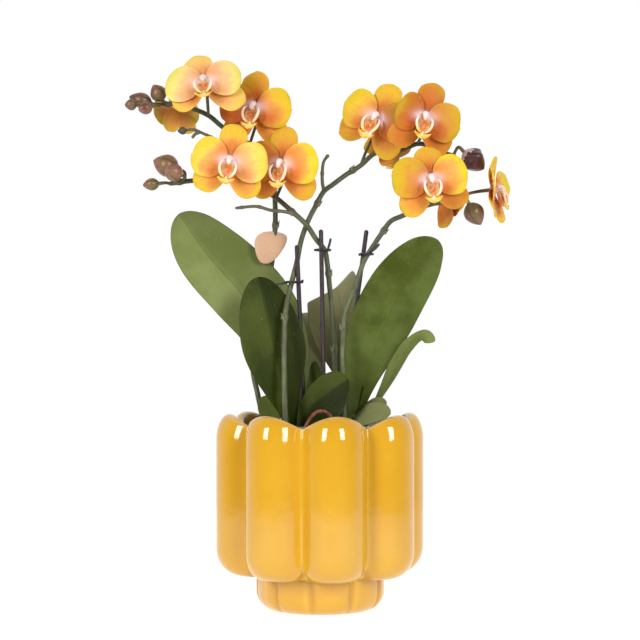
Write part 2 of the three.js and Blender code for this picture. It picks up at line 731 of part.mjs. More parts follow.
// Flower spikes: the main stem from the bark up, its joints along it, dead side twigs,
// and the stalks that carry blooms and buds, each from a point on the stem
const spikes = {
  spike_back_left: {
    stem: [
      [-33, 12, 92],
      [-34.5, 13, 108],
      [-39.7, 18, 132.5],
      [-43, 22, 149.5],
      [-39.9, 24, 177],
      [-33.4, 20, 202.4],
      [-29.4, 14, 227.5],
      [-28.6, 10, 252.3],
      [-31, 9, 274],
      [-39.1, 9, 286.9],
      [-50.3, 7, 294],
      [-61.5, 5, 301.2],
      [-70.1, 0, 307.8],
      [-81.3, -3, 312.2],
      [-92, -5, 314.4],
      [-99.3, -5.2, 314.4],
    ],
    joints: [0.27, 0.56, 0.8],
    twigs: [
      [
        [-47, 8, 291],
        [-59.7, 4, 291],
        [-72.1, 0, 296],
        [-79.6, -1.5, 298.8],
        [-84.5, -2.5, 298.2],
      ],
      [
        [-76, -0.8, 297.4],
        [-78.5, -1.5, 295.8],
        [-80.2, -2, 293.5],
      ],
    ],
    tipBuds: [{ at: [-86.3, -2.8, 298], axis: [-1, -0.2, -0.1], length: 6, radius: 2.5 }],
    stalks: [
      { from: [-70.1, 0, 307.8], by: [[-70, -7, 311.5]], bloom: 0 },
      { from: [-45, 8.3, 289.8], by: [[-42.5, 12, 298]], bloom: 1 },
      { from: [-81.3, -3, 312.2], by: [[-82.5, 2, 315]], bloom: 4 },
      { from: [-92, -5, 314.4], by: [], bud: 0 },
      { from: [-98.8, -5.2, 314.3], by: [], bud: 1 },
      { from: [-97.8, -5.2, 314.2], by: [[-105, -9, 313.8]], bud: 2 },
      { from: [-95.8, -5.1, 314.1], by: [], bud: 3 },
    ],
  },
  spike_left: {
    stem: [
      [10.4, 2, 92],
      [10, 2, 108],
      [9.1, 2, 123.5],
      [8.8, 2, 144.8],
      [8.5, 2, 164.2],
      [7.8, 2, 178.6],
      [5.9, 0.5, 198.6],
      [4.1, -1.2, 216],
      [2.6, -2, 223.3],
      [-2.8, -4, 230.2],
      [-8.7, -8, 238.8],
      [-17.1, -7, 246.7],
      [-27.6, -3, 255.9],
      [-38.7, -2, 262.6],
      [-49.8, -3, 266.3],
      [-65.2, -6, 266.9],
      [-78.8, -9.5, 266.2],
      [-88, -13, 264.8],
      [-94.1, -15, 263.6],
    ],
    joints: [0.28, 0.47, 0.66, 0.97],
    twigs: [
      [
        [-15.8, -7.5, 245.5],
        [-22.6, -9, 247],
        [-31.3, -9.5, 247.9],
        [-39.4, -9.5, 250.1],
        [-53.1, -8, 249.2],
      ],
    ],
    tipBuds: [],
    stalks: [
      { from: [-60, -5, 266.9], by: [[-57.5, -14, 271]], bloom: 2 },
      { from: [-27.6, -3, 255.9], by: [[-24, -3, 265]], bloom: 3 },
      { from: [-84, -11.5, 265.4], by: [], bud: 4 },
      { from: [-86, -12.3, 265.1], by: [], bud: 5 },
      { from: [-93, -14.7, 263.8], by: [], bud: 6 },
    ],
  },
  spike_right_upper: {
    stem: [
      [-20.8, -27, 92],
      [-21, -27, 108],
      [-21.4, -27.5, 121.4],
      [-21.9, -27, 136.7],
      [-22.2, -25.5, 161.1],
      [-21.5, -21, 183.9],
      [-18.9, -15, 198.2],
      [-14.6, -10, 215.8],
      [-12.1, -5, 229],
      [-7.8, -1, 241.6],
      [-2.8, 0, 251.5],
      [2.2, 0, 260.3],
      [7.8, 0, 264.6],
      [15.9, 2, 270.8],
      [25.2, 4, 276.9],
      [33.9, 5, 284.4],
      [42.1, 5, 285.8],
      [50.8, 4, 286.5],
      [60.9, 3, 290.4],
      [69.7, 2, 288.6],
      [78.3, 0, 284],
      [85, -2, 282.2],
    ],
    joints: [0.33, 0.62, 0.735],
    twigs: [
      [
        [2.2, 0, 260.3],
        [1.2, -0.5, 266],
        [1.2, -1, 273.3],
        [2.1, -1, 278.9],
        [5.1, -1.5, 283.2],
      ],
    ],
    tipBuds: [],
    stalks: [
      { from: [25.2, 4, 276.9], by: [[29.5, 8.5, 288]], bloom: 5 },
      { from: [60.9, 3, 290.4], by: [[63.5, -5, 296.5]], bloom: 6 },
      { from: [33.9, 5, 284.4], by: [[39, 5, 291]], bloom: 8 },
      { from: [83, -1.4, 282.7], by: [], bud: 7 },
    ],
  },
  spike_right_lower: {
    stem: [
      [15, -8, 92],
      [15, -8, 108],
      [14.6, -9, 123.9],
      [14, -9, 146.2],
      [14, -9, 167.3],
      [15.5, -8, 184.7],
      [20.8, -6.5, 198.4],
      [24.6, -5.6, 209.6],
      [27.1, -5, 216.5],
      [32, -5, 224.5],
      [38.2, -6, 233.8],
      [43.8, -7, 241.2],
      [50.6, -8, 244.3],
      [58.6, -9, 247.9],
      [69.2, -8, 251.7],
      [79.1, -9, 252.9],
      [86, -11, 252.4],
    ],
    joints: [0.41, 0.74],
    twigs: [],
    tipBuds: [],
    stalks: [
      { from: [60, -9, 248.4], by: [[61.5, -20, 252]], bloom: 7 },
      { from: [73, -8.4, 252.2], by: [[75, -4, 255]], bloom: 9 },
      { from: [84, -10.4, 252.6], by: [[91, -12, 257.5]], bloom: 10 },
      { from: [84.5, -10.6, 252.5], by: [], bud: 8 },
    ],
  },
};

const STEM = { base: 1.75, tip: 1.5, joint: 0.5, step: 13 };
const STALK = { radius: 0.95, step: 7 };

function lengthOf(path) {
  return new THREE.CatmullRomCurve3(path, false, "centripetal").getLength();
}

function makeStem({ stem, joints }, grow = 0) {
  const path = vectors(stem);
  const steps = Math.round(lengthOf(path) / STEM.step);
  const nearJoint = (t) => joints.some((joint) => Math.abs(t - joint) < 0.5 / steps);
  const radiusAt = (t) => mix(STEM.base, STEM.tip, t) + (nearJoint(t) ? STEM.joint : 0) + grow;
  return rod(path, radiusAt, 6, steps);
}

function makeStalk(path, radius = STALK.radius) {
  const steps = Math.max(3, Math.round(lengthOf(path) / STALK.step));
  return rod(path, (t) => radius * mix(1.1, 0.9, t), 4, steps);
}

function makeSpike(spike) {
  const stalks = spike.stalks.map(({ from, by, bloom, bud }) => {
    const end = bloom === undefined ? baseOf(buds[bud]) : backOf(blooms[bloom]);
    return makeStalk([V(...from), ...vectors(by), ...end]);
  });
  const twigs = spike.twigs.map((path) => makeStalk(vectors(path), 1));
  return union([makeStem(spike), ...twigs, ...spike.tipBuds.map(makeBud), ...stalks]);
}

// Stakes stand in the bark, and a wire clip ties each to a spike
const stakes = {
  stake_left: [
    [-8.4, -0.5, 80],
    [-14.6, -16.5, 225.8],
  ],
  stake_middle: [
    [3, 0, 80],
    [0.3, -7.2, 236],
  ],
  stake_right: [
    [7.9, 12.2, 80],
    [28.8, -1.4, 236],
  ],
};

function makeStake([low, high], grow = 0) {
  const ends = [V(...low), V(...high)];
  const middle = ends[0].clone().lerp(ends[1], 0.5);
  return rod([ends[0], middle, ends[1]], () => STAKE_RADIUS + grow, 8, 1);
}

const clips = {
  clip_left: {
    at: [-16, -15.2, 203],
    loop: [5.6, 4.2],
    turn: 50,
    tails: [[[-20, -16, 203], [-24, -18, 202], [-27.5, -19, 201.3]], [[-12, -15, 203], [-10.8, -17, 204]]],
    stake: "stake_left",
    spike: "spike_right_upper",
  },
  clip_middle: {
    at: [1.6, -3.8, 223.4],
    loop: [5.4, 4.4],
    turn: 65,
    tails: [[[4.6, -6.5, 223.8], [5.6, -7.6, 227], [6.4, -8, 230.5]], [[-1.4, -7.2, 223.4], [-4, -8.5, 223]]],
    stake: "stake_middle",
    spike: "spike_left",
  },
  clip_right: {
    at: [28.6, -3.6, 220.8],
    loop: [5.4, 4],
    turn: -75,
    tails: [[[30.5, -8, 221.5], [34, -9.5, 224], [36.6, -10, 227]], [[26, -6, 220.5], [23.6, -7, 220.3]]],
    stake: "stake_right",
    spike: "spike_right_lower",
  },
};

function makeClip({ at, loop, turn, tails, stake, spike }) {
  const wire = 0.75;
  const ring = new THREE.TorusGeometry(1, wire / 4, 4, 10).scale(loop[0], loop[1], 4);
  ring.rotateZ(radians(turn)).translate(...at);
  const ends = tails.map((path) => rod(vectors(path), (t) => wire * mix(1, 0.7, t), 4, 2));
  const tie = union([solidOfGeometry(ring), ...ends]);
  return tie
    .subtract(makeStake(stakes[stake], GAP))
    .subtract(makeStem(spikes[spike], GAP));
}

// Tag: a bare card with rounded corners that leans on the back left spike
const TAG = { thickness: 1, at: [-31.5, 11.3, 225.6], turn: 20 };

function makeTag() {
  const outline = new THREE.Shape();
  outline.moveTo(-9.2, 6.8);
  outline.quadraticCurveTo(-6, 10.6, 1.5, 10.3);
  outline.quadraticCurveTo(10.6, 9.6, 10.9, 6.6);
  outline.quadraticCurveTo(11.4, 3.2, 6.4, -3.4);
  outline.quadraticCurveTo(1.2, -10.3, -3.6, -10.2);
  outline.quadraticCurveTo(-8.2, -10.2, -10, -2.4);
  outline.quadraticCurveTo(-11.4, 4, -9.2, 6.8);
  const card = new THREE.ExtrudeGeometry(outline, {
    depth: TAG.thickness,
    bevelEnabled: false,
    curveSegments: 4,
  });
  card.rotateX(Math.PI / 2).rotateZ(radians(TAG.turn)).translate(...TAG.at);
  return solidOfGeometry(card).subtract(makeStem(spikes.spike_back_left, GAP));
}

// An aerial root arches out of the bark and back into it
const ROOT = {
  path: [
    [-12, -37, 96],
    [-11, -37.5, 108],
    [-7, -37.5, 118.5],
    [-2, -37, 123.6],
    [3.5, -35, 123.5],
    [8, -32, 117],
    [9.5, -30.5, 108],
    [9.5, -30, 96],
  ],
  radius: 1.1,
};
const makeRoot = (grow = 0) => rod(vectors(ROOT.path), () => ROOT.radius + grow, 6, 12);

// The assembly
const COLOUR = {
  glaze: "#f0b430",
  clear: "#dfe6e4",
  bark: "#6b4a30",
  crown: "#6d7f45",
  leaf: "#55702f",
  leafBack: "#7d8464",
  stem: "#5f6142",
  petal: "#f5a83a",
  lip: "#f7e2d2",
  bud: "#7a5a40",
  darkBud: "#5a2a20",
  stake: "#2e2226",
  clip: "#1f1c1e",
  tag: "#efc3a0",
  root: "#7a4128",
};

place("pot", makePot(), COLOUR.glaze, 0.12);
place("grower_pot", makeGrowerPot(), COLOUR.clear, 0.1);

const crownNames = Object.keys(crowns);
const stakeNames = Object.keys(stakes);
const spikeNames = Object.keys(spikes);
const standing = [
  ...crownNames.map((name) => makeCrown(crowns[name], GAP)),
  ...stakeNames.map((name) => makeStake(stakes[name], GAP)),
  ...spikeNames.map((name) => makeStem(spikes[name], GAP)),
  makeRoot(GAP),
];
place("bark", makeBark(standing), COLOUR.bark, 0.9);
crownNames.forEach((name) => place(name, makeCrown(crowns[name]), COLOUR.crown));
place("aerial_root", makeRoot(), COLOUR.root);

for (const [name, leaf] of Object.entries(leaves)) {
  const clasped = makeLeaf(leaf).subtract(makeCrown(crowns[leaf.crown], GAP));
  place(name, clasped, name.includes("_back_") ? COLOUR.leafBack : COLOUR.leaf, 0.45);
}

spikeNames.forEach((name) => place(name, makeSpike(spikes[name]), COLOUR.stem));
stakeNames.forEach((name) => place(name, makeStake(stakes[name]), COLOUR.stake));
for (const [name, clip] of Object.entries(clips)) place(name, makeClip(clip), COLOUR.clip);
place("tag", makeTag(), COLOUR.tag, 0.8);

blooms.forEach((bloom, i) => {
  place(`bloom_${i + 1}_petals`, makeBloom(bloom), COLOUR.petal);
  place(`bloom_${i + 1}_lip`, makeLip(bloom), COLOUR.lip);
});
buds.forEach((bud, i) => {
  place(`bud_${i + 1}`, makeBud(bud), bud.dark ? COLOUR.darkBud : COLOUR.bud);
});

export default orchid;
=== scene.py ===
"""A potted moth orchid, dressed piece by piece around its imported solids.

Lengths are in millimetres, and each mesh is turned to metres when it is made. Only the studio's
lengths and the depth of a finish's relief are written in metres. +X is to the right, +Y to the back
and +Z up, from the middle of the pot's underside.
"""

import bpy
import numpy as np
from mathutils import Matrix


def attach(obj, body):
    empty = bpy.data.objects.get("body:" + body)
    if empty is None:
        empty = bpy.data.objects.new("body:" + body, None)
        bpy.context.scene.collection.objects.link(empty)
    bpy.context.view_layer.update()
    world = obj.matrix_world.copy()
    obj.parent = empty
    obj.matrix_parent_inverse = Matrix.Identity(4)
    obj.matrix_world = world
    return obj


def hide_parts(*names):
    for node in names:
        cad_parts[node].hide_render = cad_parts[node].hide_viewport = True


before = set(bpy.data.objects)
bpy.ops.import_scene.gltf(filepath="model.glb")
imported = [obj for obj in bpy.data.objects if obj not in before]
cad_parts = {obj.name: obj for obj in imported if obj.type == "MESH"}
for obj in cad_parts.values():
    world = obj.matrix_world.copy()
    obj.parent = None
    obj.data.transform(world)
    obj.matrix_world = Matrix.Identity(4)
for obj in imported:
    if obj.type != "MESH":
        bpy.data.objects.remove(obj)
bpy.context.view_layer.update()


# Studio: a round white table top before a white backdrop, in a room that is dark behind the camera.
# Two tall soft boxes stand in front to the left and right, and the camera looks at the plant from
# the front, a little over the pot's rim.
TABLE_RADIUS = 0.72
TABLE_GREY = 0.5
TABLE_GLOW = 0.75
CAMERA_AT = (-0.0003, -1.150, 0.1642)
CAMERA_LENS = 103.5
CAMERA_SENSOR = 36
CAMERA_PITCH = 0.778  # degrees above the level
ROOM_LIGHT = (0.08, 1.0)  # behind the camera and behind the plant
ROOM_TURN = 0.55  # how far to each side of the plant the light takes to change, as part of a sphere
SOFT_BOXES = {"left_box": (-1.1, -1.3, 0.72), "right_box": (0.85, -1.45, 0.72)}
SOFT_BOX_AIM = (0, 0, 0.15)
SOFT_BOX_SIZE = (0.5, 0.9)
SOFT_BOX_POWER = 20


def make_floor():
    """A flat disc."""
    turn = np.linspace(0, 2 * np.pi, 96, endpoint=False)
    rim = TABLE_RADIUS * np.stack([np.cos(turn), np.sin(turn), 0 * turn], axis=1)
    mesh = bpy.data.meshes.new("floor")
    mesh.from_pydata(rim.tolist(), [], [list(range(len(rim)))])
    floor = bpy.data.objects.new("floor", mesh)
    bpy.context.scene.collection.objects.link(floor)
    material = bpy.data.materials.new("pale_floor")
    material.use_nodes = True
    shader = material.node_tree.nodes["Principled BSDF"]
    shader.inputs["Base Color"].default_value = (TABLE_GREY, TABLE_GREY, TABLE_GREY, 1)
    shader.inputs["Roughness"].default_value = 0.75
    shader.inputs["Specular IOR Level"].default_value = 0.1
    shader.inputs["Emission Color"].default_value = (1, 1, 1, 1)
    shader.inputs["Emission Strength"].default_value = TABLE_GLOW
    mesh.materials.append(material)


def make_surround():
    """White wherever the camera looks. What lights the plant is a room that brightens smoothly from
    the side behind the camera to the backdrop."""
    world = bpy.data.worlds.new("surround")
    bpy.context.scene.world = world
    world.use_nodes = True
    nodes = world.node_tree.nodes
    background = nodes["Background"]
    background.inputs["Color"].default_value = (1, 1, 1, 1)
    link = world.node_tree.links.new
    way = nodes.new("ShaderNodeSeparateXYZ")
    link(nodes.new("ShaderNodeTexCoord").outputs["Generated"], way.inputs["Vector"])
    room = nodes.new("ShaderNodeMapRange")
    room.interpolation_type = "SMOOTHSTEP"
    room.inputs["From Min"].default_value = -ROOM_TURN
    room.inputs["From Max"].default_value = ROOM_TURN
    room.inputs["To Min"].default_value = ROOM_LIGHT[0]
    room.inputs["To Max"].default_value = ROOM_LIGHT[1]
    link(way.outputs["Y"], room.inputs["Value"])
    strength = nodes.new("ShaderNodeMath")
    strength.operation = "MAXIMUM"
    link(room.outputs["Result"], strength.inputs[0])
    link(nodes.new("ShaderNodeLightPath").outputs["Is Camera Ray"], strength.inputs[1])
    link(strength.outputs["Value"], background.inputs["Strength"])


def make_soft_box(name, place):
    """A rectangular lamp at place, turned to shine at the plant."""
    lamp = bpy.data.lights.new(name, "AREA")
    lamp.shape = "RECTANGLE"
    lamp.size, lamp.size_y = SOFT_BOX_SIZE
    lamp.energy = SOFT_BOX_POWER
    box = bpy.data.objects.new(name, lamp)
    box.location = place
    way = np.array(place) - np.array(SOFT_BOX_AIM)
    flat = np.hypot(way[0], way[1])
    box.rotation_euler = (np.arctan2(flat, way[2]), 0, np.arctan2(way[0], -way[1]))
    bpy.context.scene.collection.objects.link(box)


make_floor()
make_surround()
for name, place in SOFT_BOXES.items():
    make_soft_box(name, place)

lens = bpy.data.cameras.new("camera")
lens.lens = CAMERA_LENS
lens.sensor_width = CAMERA_SENSOR
camera = bpy.data.objects.new("camera", lens)
camera.location = CAMERA_AT
camera.rotation_euler = (np.radians(90 + CAMERA_PITCH), 0, 0)
bpy.context.scene.collection.objects.link(camera)
bpy.context.scene.camera = camera
bpy.context.scene.view_settings.view_transform = "Standard"


# Ceramic pot: pressed into eight upright lobes round a plain core, with a scalloped lip that curves
# in and a narrower foot of ten soft pads. Its glossy golden glaze has painted light that brightens
# the valleys and the inside, and it is paler along the lip. Painted shade darkens the foot's grooves,
# the foot's top under the body and the lobes' lower corners.
LOBES = 8
CREST_TURN = 10.3  # degrees from the front towards +X to the nearest crest
LOBE_CENTRE = 45.9
LOBE_RADIUS = 19.45
CORE_RADIUS = (41.3, 50.5)  # at the body's bottom and above its corner
BODY_BOTTOM = 21.5
CORNER = (17, 15.3)  # height and depth of each lobe's rounded lower end
MELT = (0.3, 1.5)  # how softly a lobe blends into the core, at the body's bottom and above it
VALLEY_WIDTH = 3.2  # degrees, of the painted light that brightens each valley
VALLEY_ROUND = 0.9  # degrees over which a valley's bottom is round
VALLEY_FILL = 0.35  # degrees by which a valley is drawn towards the crests
NOTCH = (6.2, 7.8)  # half width and height of the gap between two lobes' lower corners
NOTCH_DEPTH = 1.6
NOTCH_EDGE = 1.5
NOTCH_SLOPE = 3
LIP_HEIGHT = (113.5, 121.6)  # in a valley and on a crest
LIP_INSET = (1.2, 8.2)
LIP_WIDTH = 3.2
LIP_ROUND = 1.6
SHOULDER = 15.8
POT_WALL = 4.5
FOOT_RADIUS = 40
FOOT_PADS = 10
FOOT_GROOVE = 1.5
FOOT_FLAT = 28.5
FOOT_CORNER = 12
LEDGE = (25.5, 40.5, 33)  # height, outer and inner radius
POT_FLOOR = (5, 29)  # height and radius
MM = 0.001


def mix(low, high, share):
    """The value that lies this share of the way from low to high."""
    return low + (high - low) * share


def bell(distance, width):
    """A bell curve: one in its middle, and the share 1/e at this width from it."""
    return np.exp(-((distance / width) ** 2))


def level_ring(radius, height, turn):
    """A ring of points round the upright axis. Radius and height may vary with the turn."""
    return np.stack([radius * np.cos(turn), radius * np.sin(turn), height + 0 * turn], axis=1)


def skin(grid, **marks):
    """A closed body over a grid of rings: each face joins two neighbours on a ring to the same two on
    the next, and each end closes in a fan on the middle of its ring. Faces that point inwards by the
    sign of the volume are turned round. A mark is a value for each point of the grid."""
    rings, around = grid.shape[:2]
    index = np.arange(rings * around).reshape(rings, around)
    beside = np.roll(index, -1, axis=1)
    quads = np.stack([index[:-1], beside[:-1], beside[1:], index[1:]], axis=-1).reshape(-1, 4)
    first = np.full(around, rings * around)
    fans = [
        np.stack([first, beside[0], index[0]], axis=1),
        np.stack([first + 1, index[-1], beside[-1]], axis=1),
    ]
    triangles = np.concatenate(fans)
    ends = grid[[0, -1]].mean(axis=1)
    points = np.concatenate([grid.reshape(-1, 3), ends])
    a, b, c, d = (points[quads[:, i]] for i in range(4))
    volume = np.einsum("ij,ij->", a, np.cross(b, c)) + np.einsum("ij,ij->", a, np.cross(c, d))
    a, b, c = (points[triangles[:, i]] for i in range(3))
    volume += np.einsum("ij,ij->", a, np.cross(b, c))
    if volume < 0:
        quads = quads[:, ::-1]
        triangles = triangles[:, ::-1]
    values = {}
    for name, value in marks.items():
        whole = np.broadcast_to(value, (rings, around))
        values[name] = np.concatenate([whole.ravel(), whole[[0, -1]].mean(axis=1)])
    return {"points": points, "quads": quads, "triangles": triangles, "marks": values}


def make_piece(name, skins, finish, slot, *nodes):
    """One object from one or more skins, in metres, smooth, which stands for the named solids."""
    sizes = [len(part["points"]) for part in skins]
    starts = np.concatenate([[0], np.cumsum(sizes)[:-1]])
    points = np.concatenate([part["points"] for part in skins]) * MM
    quads = np.concatenate([part["quads"] + start for part, start in zip(skins, starts)])
    triangles = np.concatenate([part["triangles"] + start for part, start in zip(skins, starts)])
    mesh = bpy.data.meshes.new(name)
    mesh.vertices.add(len(points))
    mesh.vertices.foreach_set("co", points.astype(np.float32).ravel())
    mesh.loops.add(quads.size + triangles.size)
    corners = np.concatenate([quads.ravel(), triangles.ravel()])
    mesh.loops.foreach_set("vertex_index", corners.astype(np.int32))
    mesh.polygons.add(len(quads) + len(triangles))
    corner_counts = np.repeat([4, 3], [len(quads), len(triangles)])
    loop_starts = np.concatenate([[0], np.cumsum(corner_counts)[:-1]])
    mesh.polygons.foreach_set("loop_start", loop_starts.astype(np.int32))
    mesh.update(calc_edges=True)
    mesh.shade_smooth()
    for mark in sorted(set().union(*[part["marks"] for part in skins])):
        values = [part["marks"].get(mark, np.zeros(size)) for part, size in zip(skins, sizes)]
        attribute = mesh.attributes.new(mark, "FLOAT", "POINT")
        attribute.data.foreach_set("value", np.concatenate(values).astype(np.float32))
    mesh.materials.append(finish.material)
    piece = bpy.data.objects.new(name, mesh)
    bpy.context.scene.collection.objects.link(piece)
    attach(piece, "root")
    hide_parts(*nodes)


class Finish:
    """A procedural material. What is the same all over is set on the shader's own sockets, and a
    pattern is built from nodes and linked to it."""

    def __init__(self, name, **sockets):
        self.material = bpy.data.materials.new(name)
        self.material.use_nodes = True
        self.tree = self.material.node_tree
        self.shader = self.tree.nodes["Principled BSDF"]
        for socket, value in sockets.items():
            self.shader.inputs[socket.replace("_", " ")].default_value = value

    def node(self, kind, inputs, **settings):
        """A node of this kind. Each input is a value, or another node's output to link."""
        made = self.tree.nodes.new(f"ShaderNode{kind}")
        for setting, value in settings.items():
            setattr(made, setting, value)
        for socket, value in inputs.items():
            if isinstance(value, bpy.types.NodeSocket):
                self.tree.links.new(value, made.inputs[socket])
            else:
                made.inputs[socket].default_value = value
        return made

    def mark(self, name, times=None):
        """A value that the mesh carries, or so many times it."""
        value = self.node("Attribute", {}, attribute_name=name).outputs["Fac"]
        return value if times is None else self.maths("MULTIPLY", value, times)

    def place(self, stretch=(1, 1, 1)):
        """The place on the object, in metres, with each axis stretched."""
        where = self.node("TexCoord", {}).outputs["Object"]
        return self.node("Mapping", {"Vector": where, "Scale": stretch}).outputs["Vector"]

    def noise(self, vector, scale, detail=3.0, roughness=0.55):
        """Cloudy noise, about 0 to 1."""
        inputs = {"Vector": vector, "Scale": scale, "Detail": detail, "Roughness": roughness}
        return self.node("TexNoise", inputs).outputs["Fac"]

    def maths(self, operation, first, second=0.0, clamp=False):
        """One sum on one or two values."""
        inputs = {0: first, 1: second}
        return self.node("Math", inputs, operation=operation, use_clamp=clamp).outputs["Value"]

    def span(self, value, low, high, to_low=0.0, to_high=1.0):
        """A value as it runs smoothly from low to high, turned to the range from to_low to to_high."""
        inputs = {"Value": value, "From Min": low, "From Max": high, "To Min": to_low, "To Max": to_high}
        return self.node("MapRange", inputs, interpolation_type="SMOOTHSTEP").outputs["Result"]

    def ramp(self, value, stops):
        """A colour that blends along stops of (position, (red, green, blue))."""
        made = self.node("ValToRGB", {"Fac": value})
        elements = made.color_ramp.elements
        while len(elements) < len(stops):
            elements.new(1.0)
        for element, (position, colour) in zip(elements, stops):
            element.position = position
            element.color = (*colour, 1)
        return made.outputs["Color"]

    def blend(self, share, first, second):
        """Two colours mixed by a share. A colour is a tuple or an output."""
        made = self.node("Mix", {"Factor": share}, data_type="RGBA")
        for socket, colour in ((made.inputs[6], first), (made.inputs[7], second)):
            if isinstance(colour, bpy.types.NodeSocket):
                self.tree.links.new(colour, socket)
            else:
                socket.default_value = (*colour, 1)
        return made.outputs[2]

    def bump(self, height, distance):
        """Relief from a height of 0 to 1, this many metres deep."""
        normal = self.node("Bump", {"Height": height, "Distance": distance}).outputs["Normal"]
        self.tree.links.new(normal, self.shader.inputs["Normal"])

    def paint(self, socket, output):
        """Links an output to one of the shader's sockets."""
        self.tree.links.new(output, self.shader.inputs[socket])


def pot_grid(columns=384):
    """Rings of the pot from the middle of its underside, up its outside, over the lip and down inside.
    The outline is a ray's way to a circle round each lobe's own axis, blended into the core's circle.
    It draws in as a quarter ellipse at the lobes' lower end, and again at the shoulder. A notch, whose
    width falls as a power curve with height, parts the lobes' lower corners, and the foot's grooves
    are a high power of a sine."""
    sector = 2 * np.pi / LOBES
    crest = np.radians(CREST_TURN) - np.pi / 2
    turn = crest + 2 * np.pi * np.arange(columns) / columns
    from_valley = np.abs((turn - crest) % sector - sector / 2)
    softened = np.sqrt(from_valley**2 + np.radians(VALLEY_ROUND) ** 2)
    filled = np.radians(VALLEY_FILL) * (1 - from_valley / (sector / 2))
    off = np.maximum(sector / 2 - softened + filled, 0)
    rise = np.cos(np.pi * off / sector)
    lip_height = mix(*LIP_HEIGHT, rise)
    inset = mix(*LIP_INSET, rise)

    across = LOBE_CENTRE * np.sin(off)
    reach = LOBE_CENTRE * np.cos(off) + np.sqrt(LOBE_RADIUS**2 - across**2)

    def lobed(shrink, core, melt):
        return melt * np.log(np.exp((reach - shrink - core) / melt) + 1) + core

    full = lobed(0, CORE_RADIUS[1], MELT[1])
    inner = full - POT_WALL
    groove = np.abs(np.sin(FOOT_PADS * (turn - crest) / 2)) ** 30
    foot = FOOT_RADIUS - FOOT_GROOVE * groove
    rings = []
    pales = []
    creases = []

    def ring(radius, height, pale=0.0, crease=0.0):
        rings.append(level_ring(radius, height, turn))
        pales.append(np.broadcast_to(pale, columns))
        creases.append(np.broadcast_to(crease, columns))

    for radius in (8, 20, FOOT_FLAT - 0.6):
        ring(radius, 0)
    for swing in np.linspace(0, np.pi / 2, 14):
        lift = FOOT_CORNER * (1 - np.cos(swing))
        pale = 0.6 * np.cos(swing) ** 3
        ring(mix(FOOT_FLAT, foot, np.sin(swing)), lift, pale, groove * np.sin(swing))
    # Painted shade runs down the foot's grooves and darkens the foot's top, under the body.
    for share in (0.35, 0.7, 0.92, 1):
        height = mix(FOOT_CORNER, BODY_BOTTOM - 0.4, share)
        ring(foot, height, 0, np.clip(groove + share**8, 0, 1))
    ring(mix(foot, CORE_RADIUS[0], 0.5), BODY_BOTTOM)
    for swing in np.linspace(0.04, np.pi / 2, 26):
        lift = CORNER[0] * (1 - np.cos(swing))
        gap = NOTCH[0] * max(1 - lift / NOTCH[1], 0) ** 1.4
        within = gap - from_valley * CORE_RADIUS[1]
        shrink = CORNER[1] * (1 - np.sin(swing)) + NOTCH_SLOPE * np.maximum(within, 0)
        core = mix(*CORE_RADIUS, np.sin(swing)) - NOTCH_DEPTH * np.clip(within / NOTCH_EDGE, 0, 1)
        melt = mix(*MELT, min(1.5 * lift / CORNER[0], 1))
        # Painted shade round each lobe's lower corner, along the notch.
        corner_line = 0.7 * bell(within, 1) * min(gap, 1)
        ring(lobed(shrink, core, melt), BODY_BOTTOM + 0.2 + lift, 0, corner_line)
    body_top = BODY_BOTTOM + CORNER[0]
    for share in np.linspace(0, 1, 14)[1:-1]:
        ring(full, mix(body_top, lip_height - SHOULDER, share))
    for swing in np.linspace(0, np.pi / 2, 22):
        height = lip_height - SHOULDER * (1 - np.sin(swing))
        ring(full - inset * (1 - np.cos(swing)), height, np.sin(swing) ** 14)
    for swing in np.linspace(0, np.pi / 2, 9)[1:]:
        ring(full - inset - LIP_WIDTH * np.sin(swing), lip_height - LIP_ROUND * (1 - np.cos(swing)), 1)
    # Down the inside the glaze is paler, as painted light that lifts the shade within the pot.
    for share in np.linspace(0, 1, 10)[1:]:
        height = mix(lip_height - LIP_ROUND, lip_height - SHOULDER, share)
        ring(mix(full - inset - LIP_WIDTH, inner, share**1.6), height, 1)
    ring(inner, LEDGE[0] + CORNER[0], 1)
    ring(LEDGE[1], LEDGE[0])
    ring(LEDGE[2], LEDGE[0])
    ring(POT_FLOOR[1], POT_FLOOR[0])
    ring(POT_FLOOR[1] / 2, POT_FLOOR[0])
    # Painted light: the glaze is brightened in each valley, against the shade that falls there.
    valley = bell(from_valley, np.radians(VALLEY_WIDTH))
    return skin(np.array(rings), pale=np.array(pales), crease=np.array(creases), valley=valley[None, :])


glaze = Finish("gold_glaze", Roughness=0.1, IOR=1.52, Coat_Weight=0.4, Coat_Roughness=0.05)
glaze_colour = glaze.ramp(
    glaze.noise(glaze.place(), 22, 4),
    [(0.3, (0.585, 0.30, 0.014)), (0.5, (0.61, 0.318, 0.016)), (0.7, (0.635, 0.34, 0.02))],
)
# Painted light brightens the glaze in the valleys.
glaze_colour = glaze.blend(glaze.mark("valley", 0.6), glaze_colour, (0.70, 0.40, 0.03))
# Painted shade darkens the foot's grooves, the foot's top under the body and the lobes' lower corners.
glaze_colour = glaze.blend(glaze.mark("crease", 0.5), glaze_colour, (0.42, 0.19, 0.008))
# Paler glaze along the lip, and painted light that lifts the shade inside the pot.
glaze_pale = glaze.span(glaze.mark("pale"), 0.15, 1.0, 0.0, 0.5)
glaze.paint("Base Color", glaze.blend(glaze_pale, glaze_colour, (0.66, 0.45, 0.24)))
glaze.bump(glaze.noise(glaze.place(), 260, 2), 0.00006)
make_piece("glazed_pot", [pot_grid()], glaze, "gold_glaze", "pot")


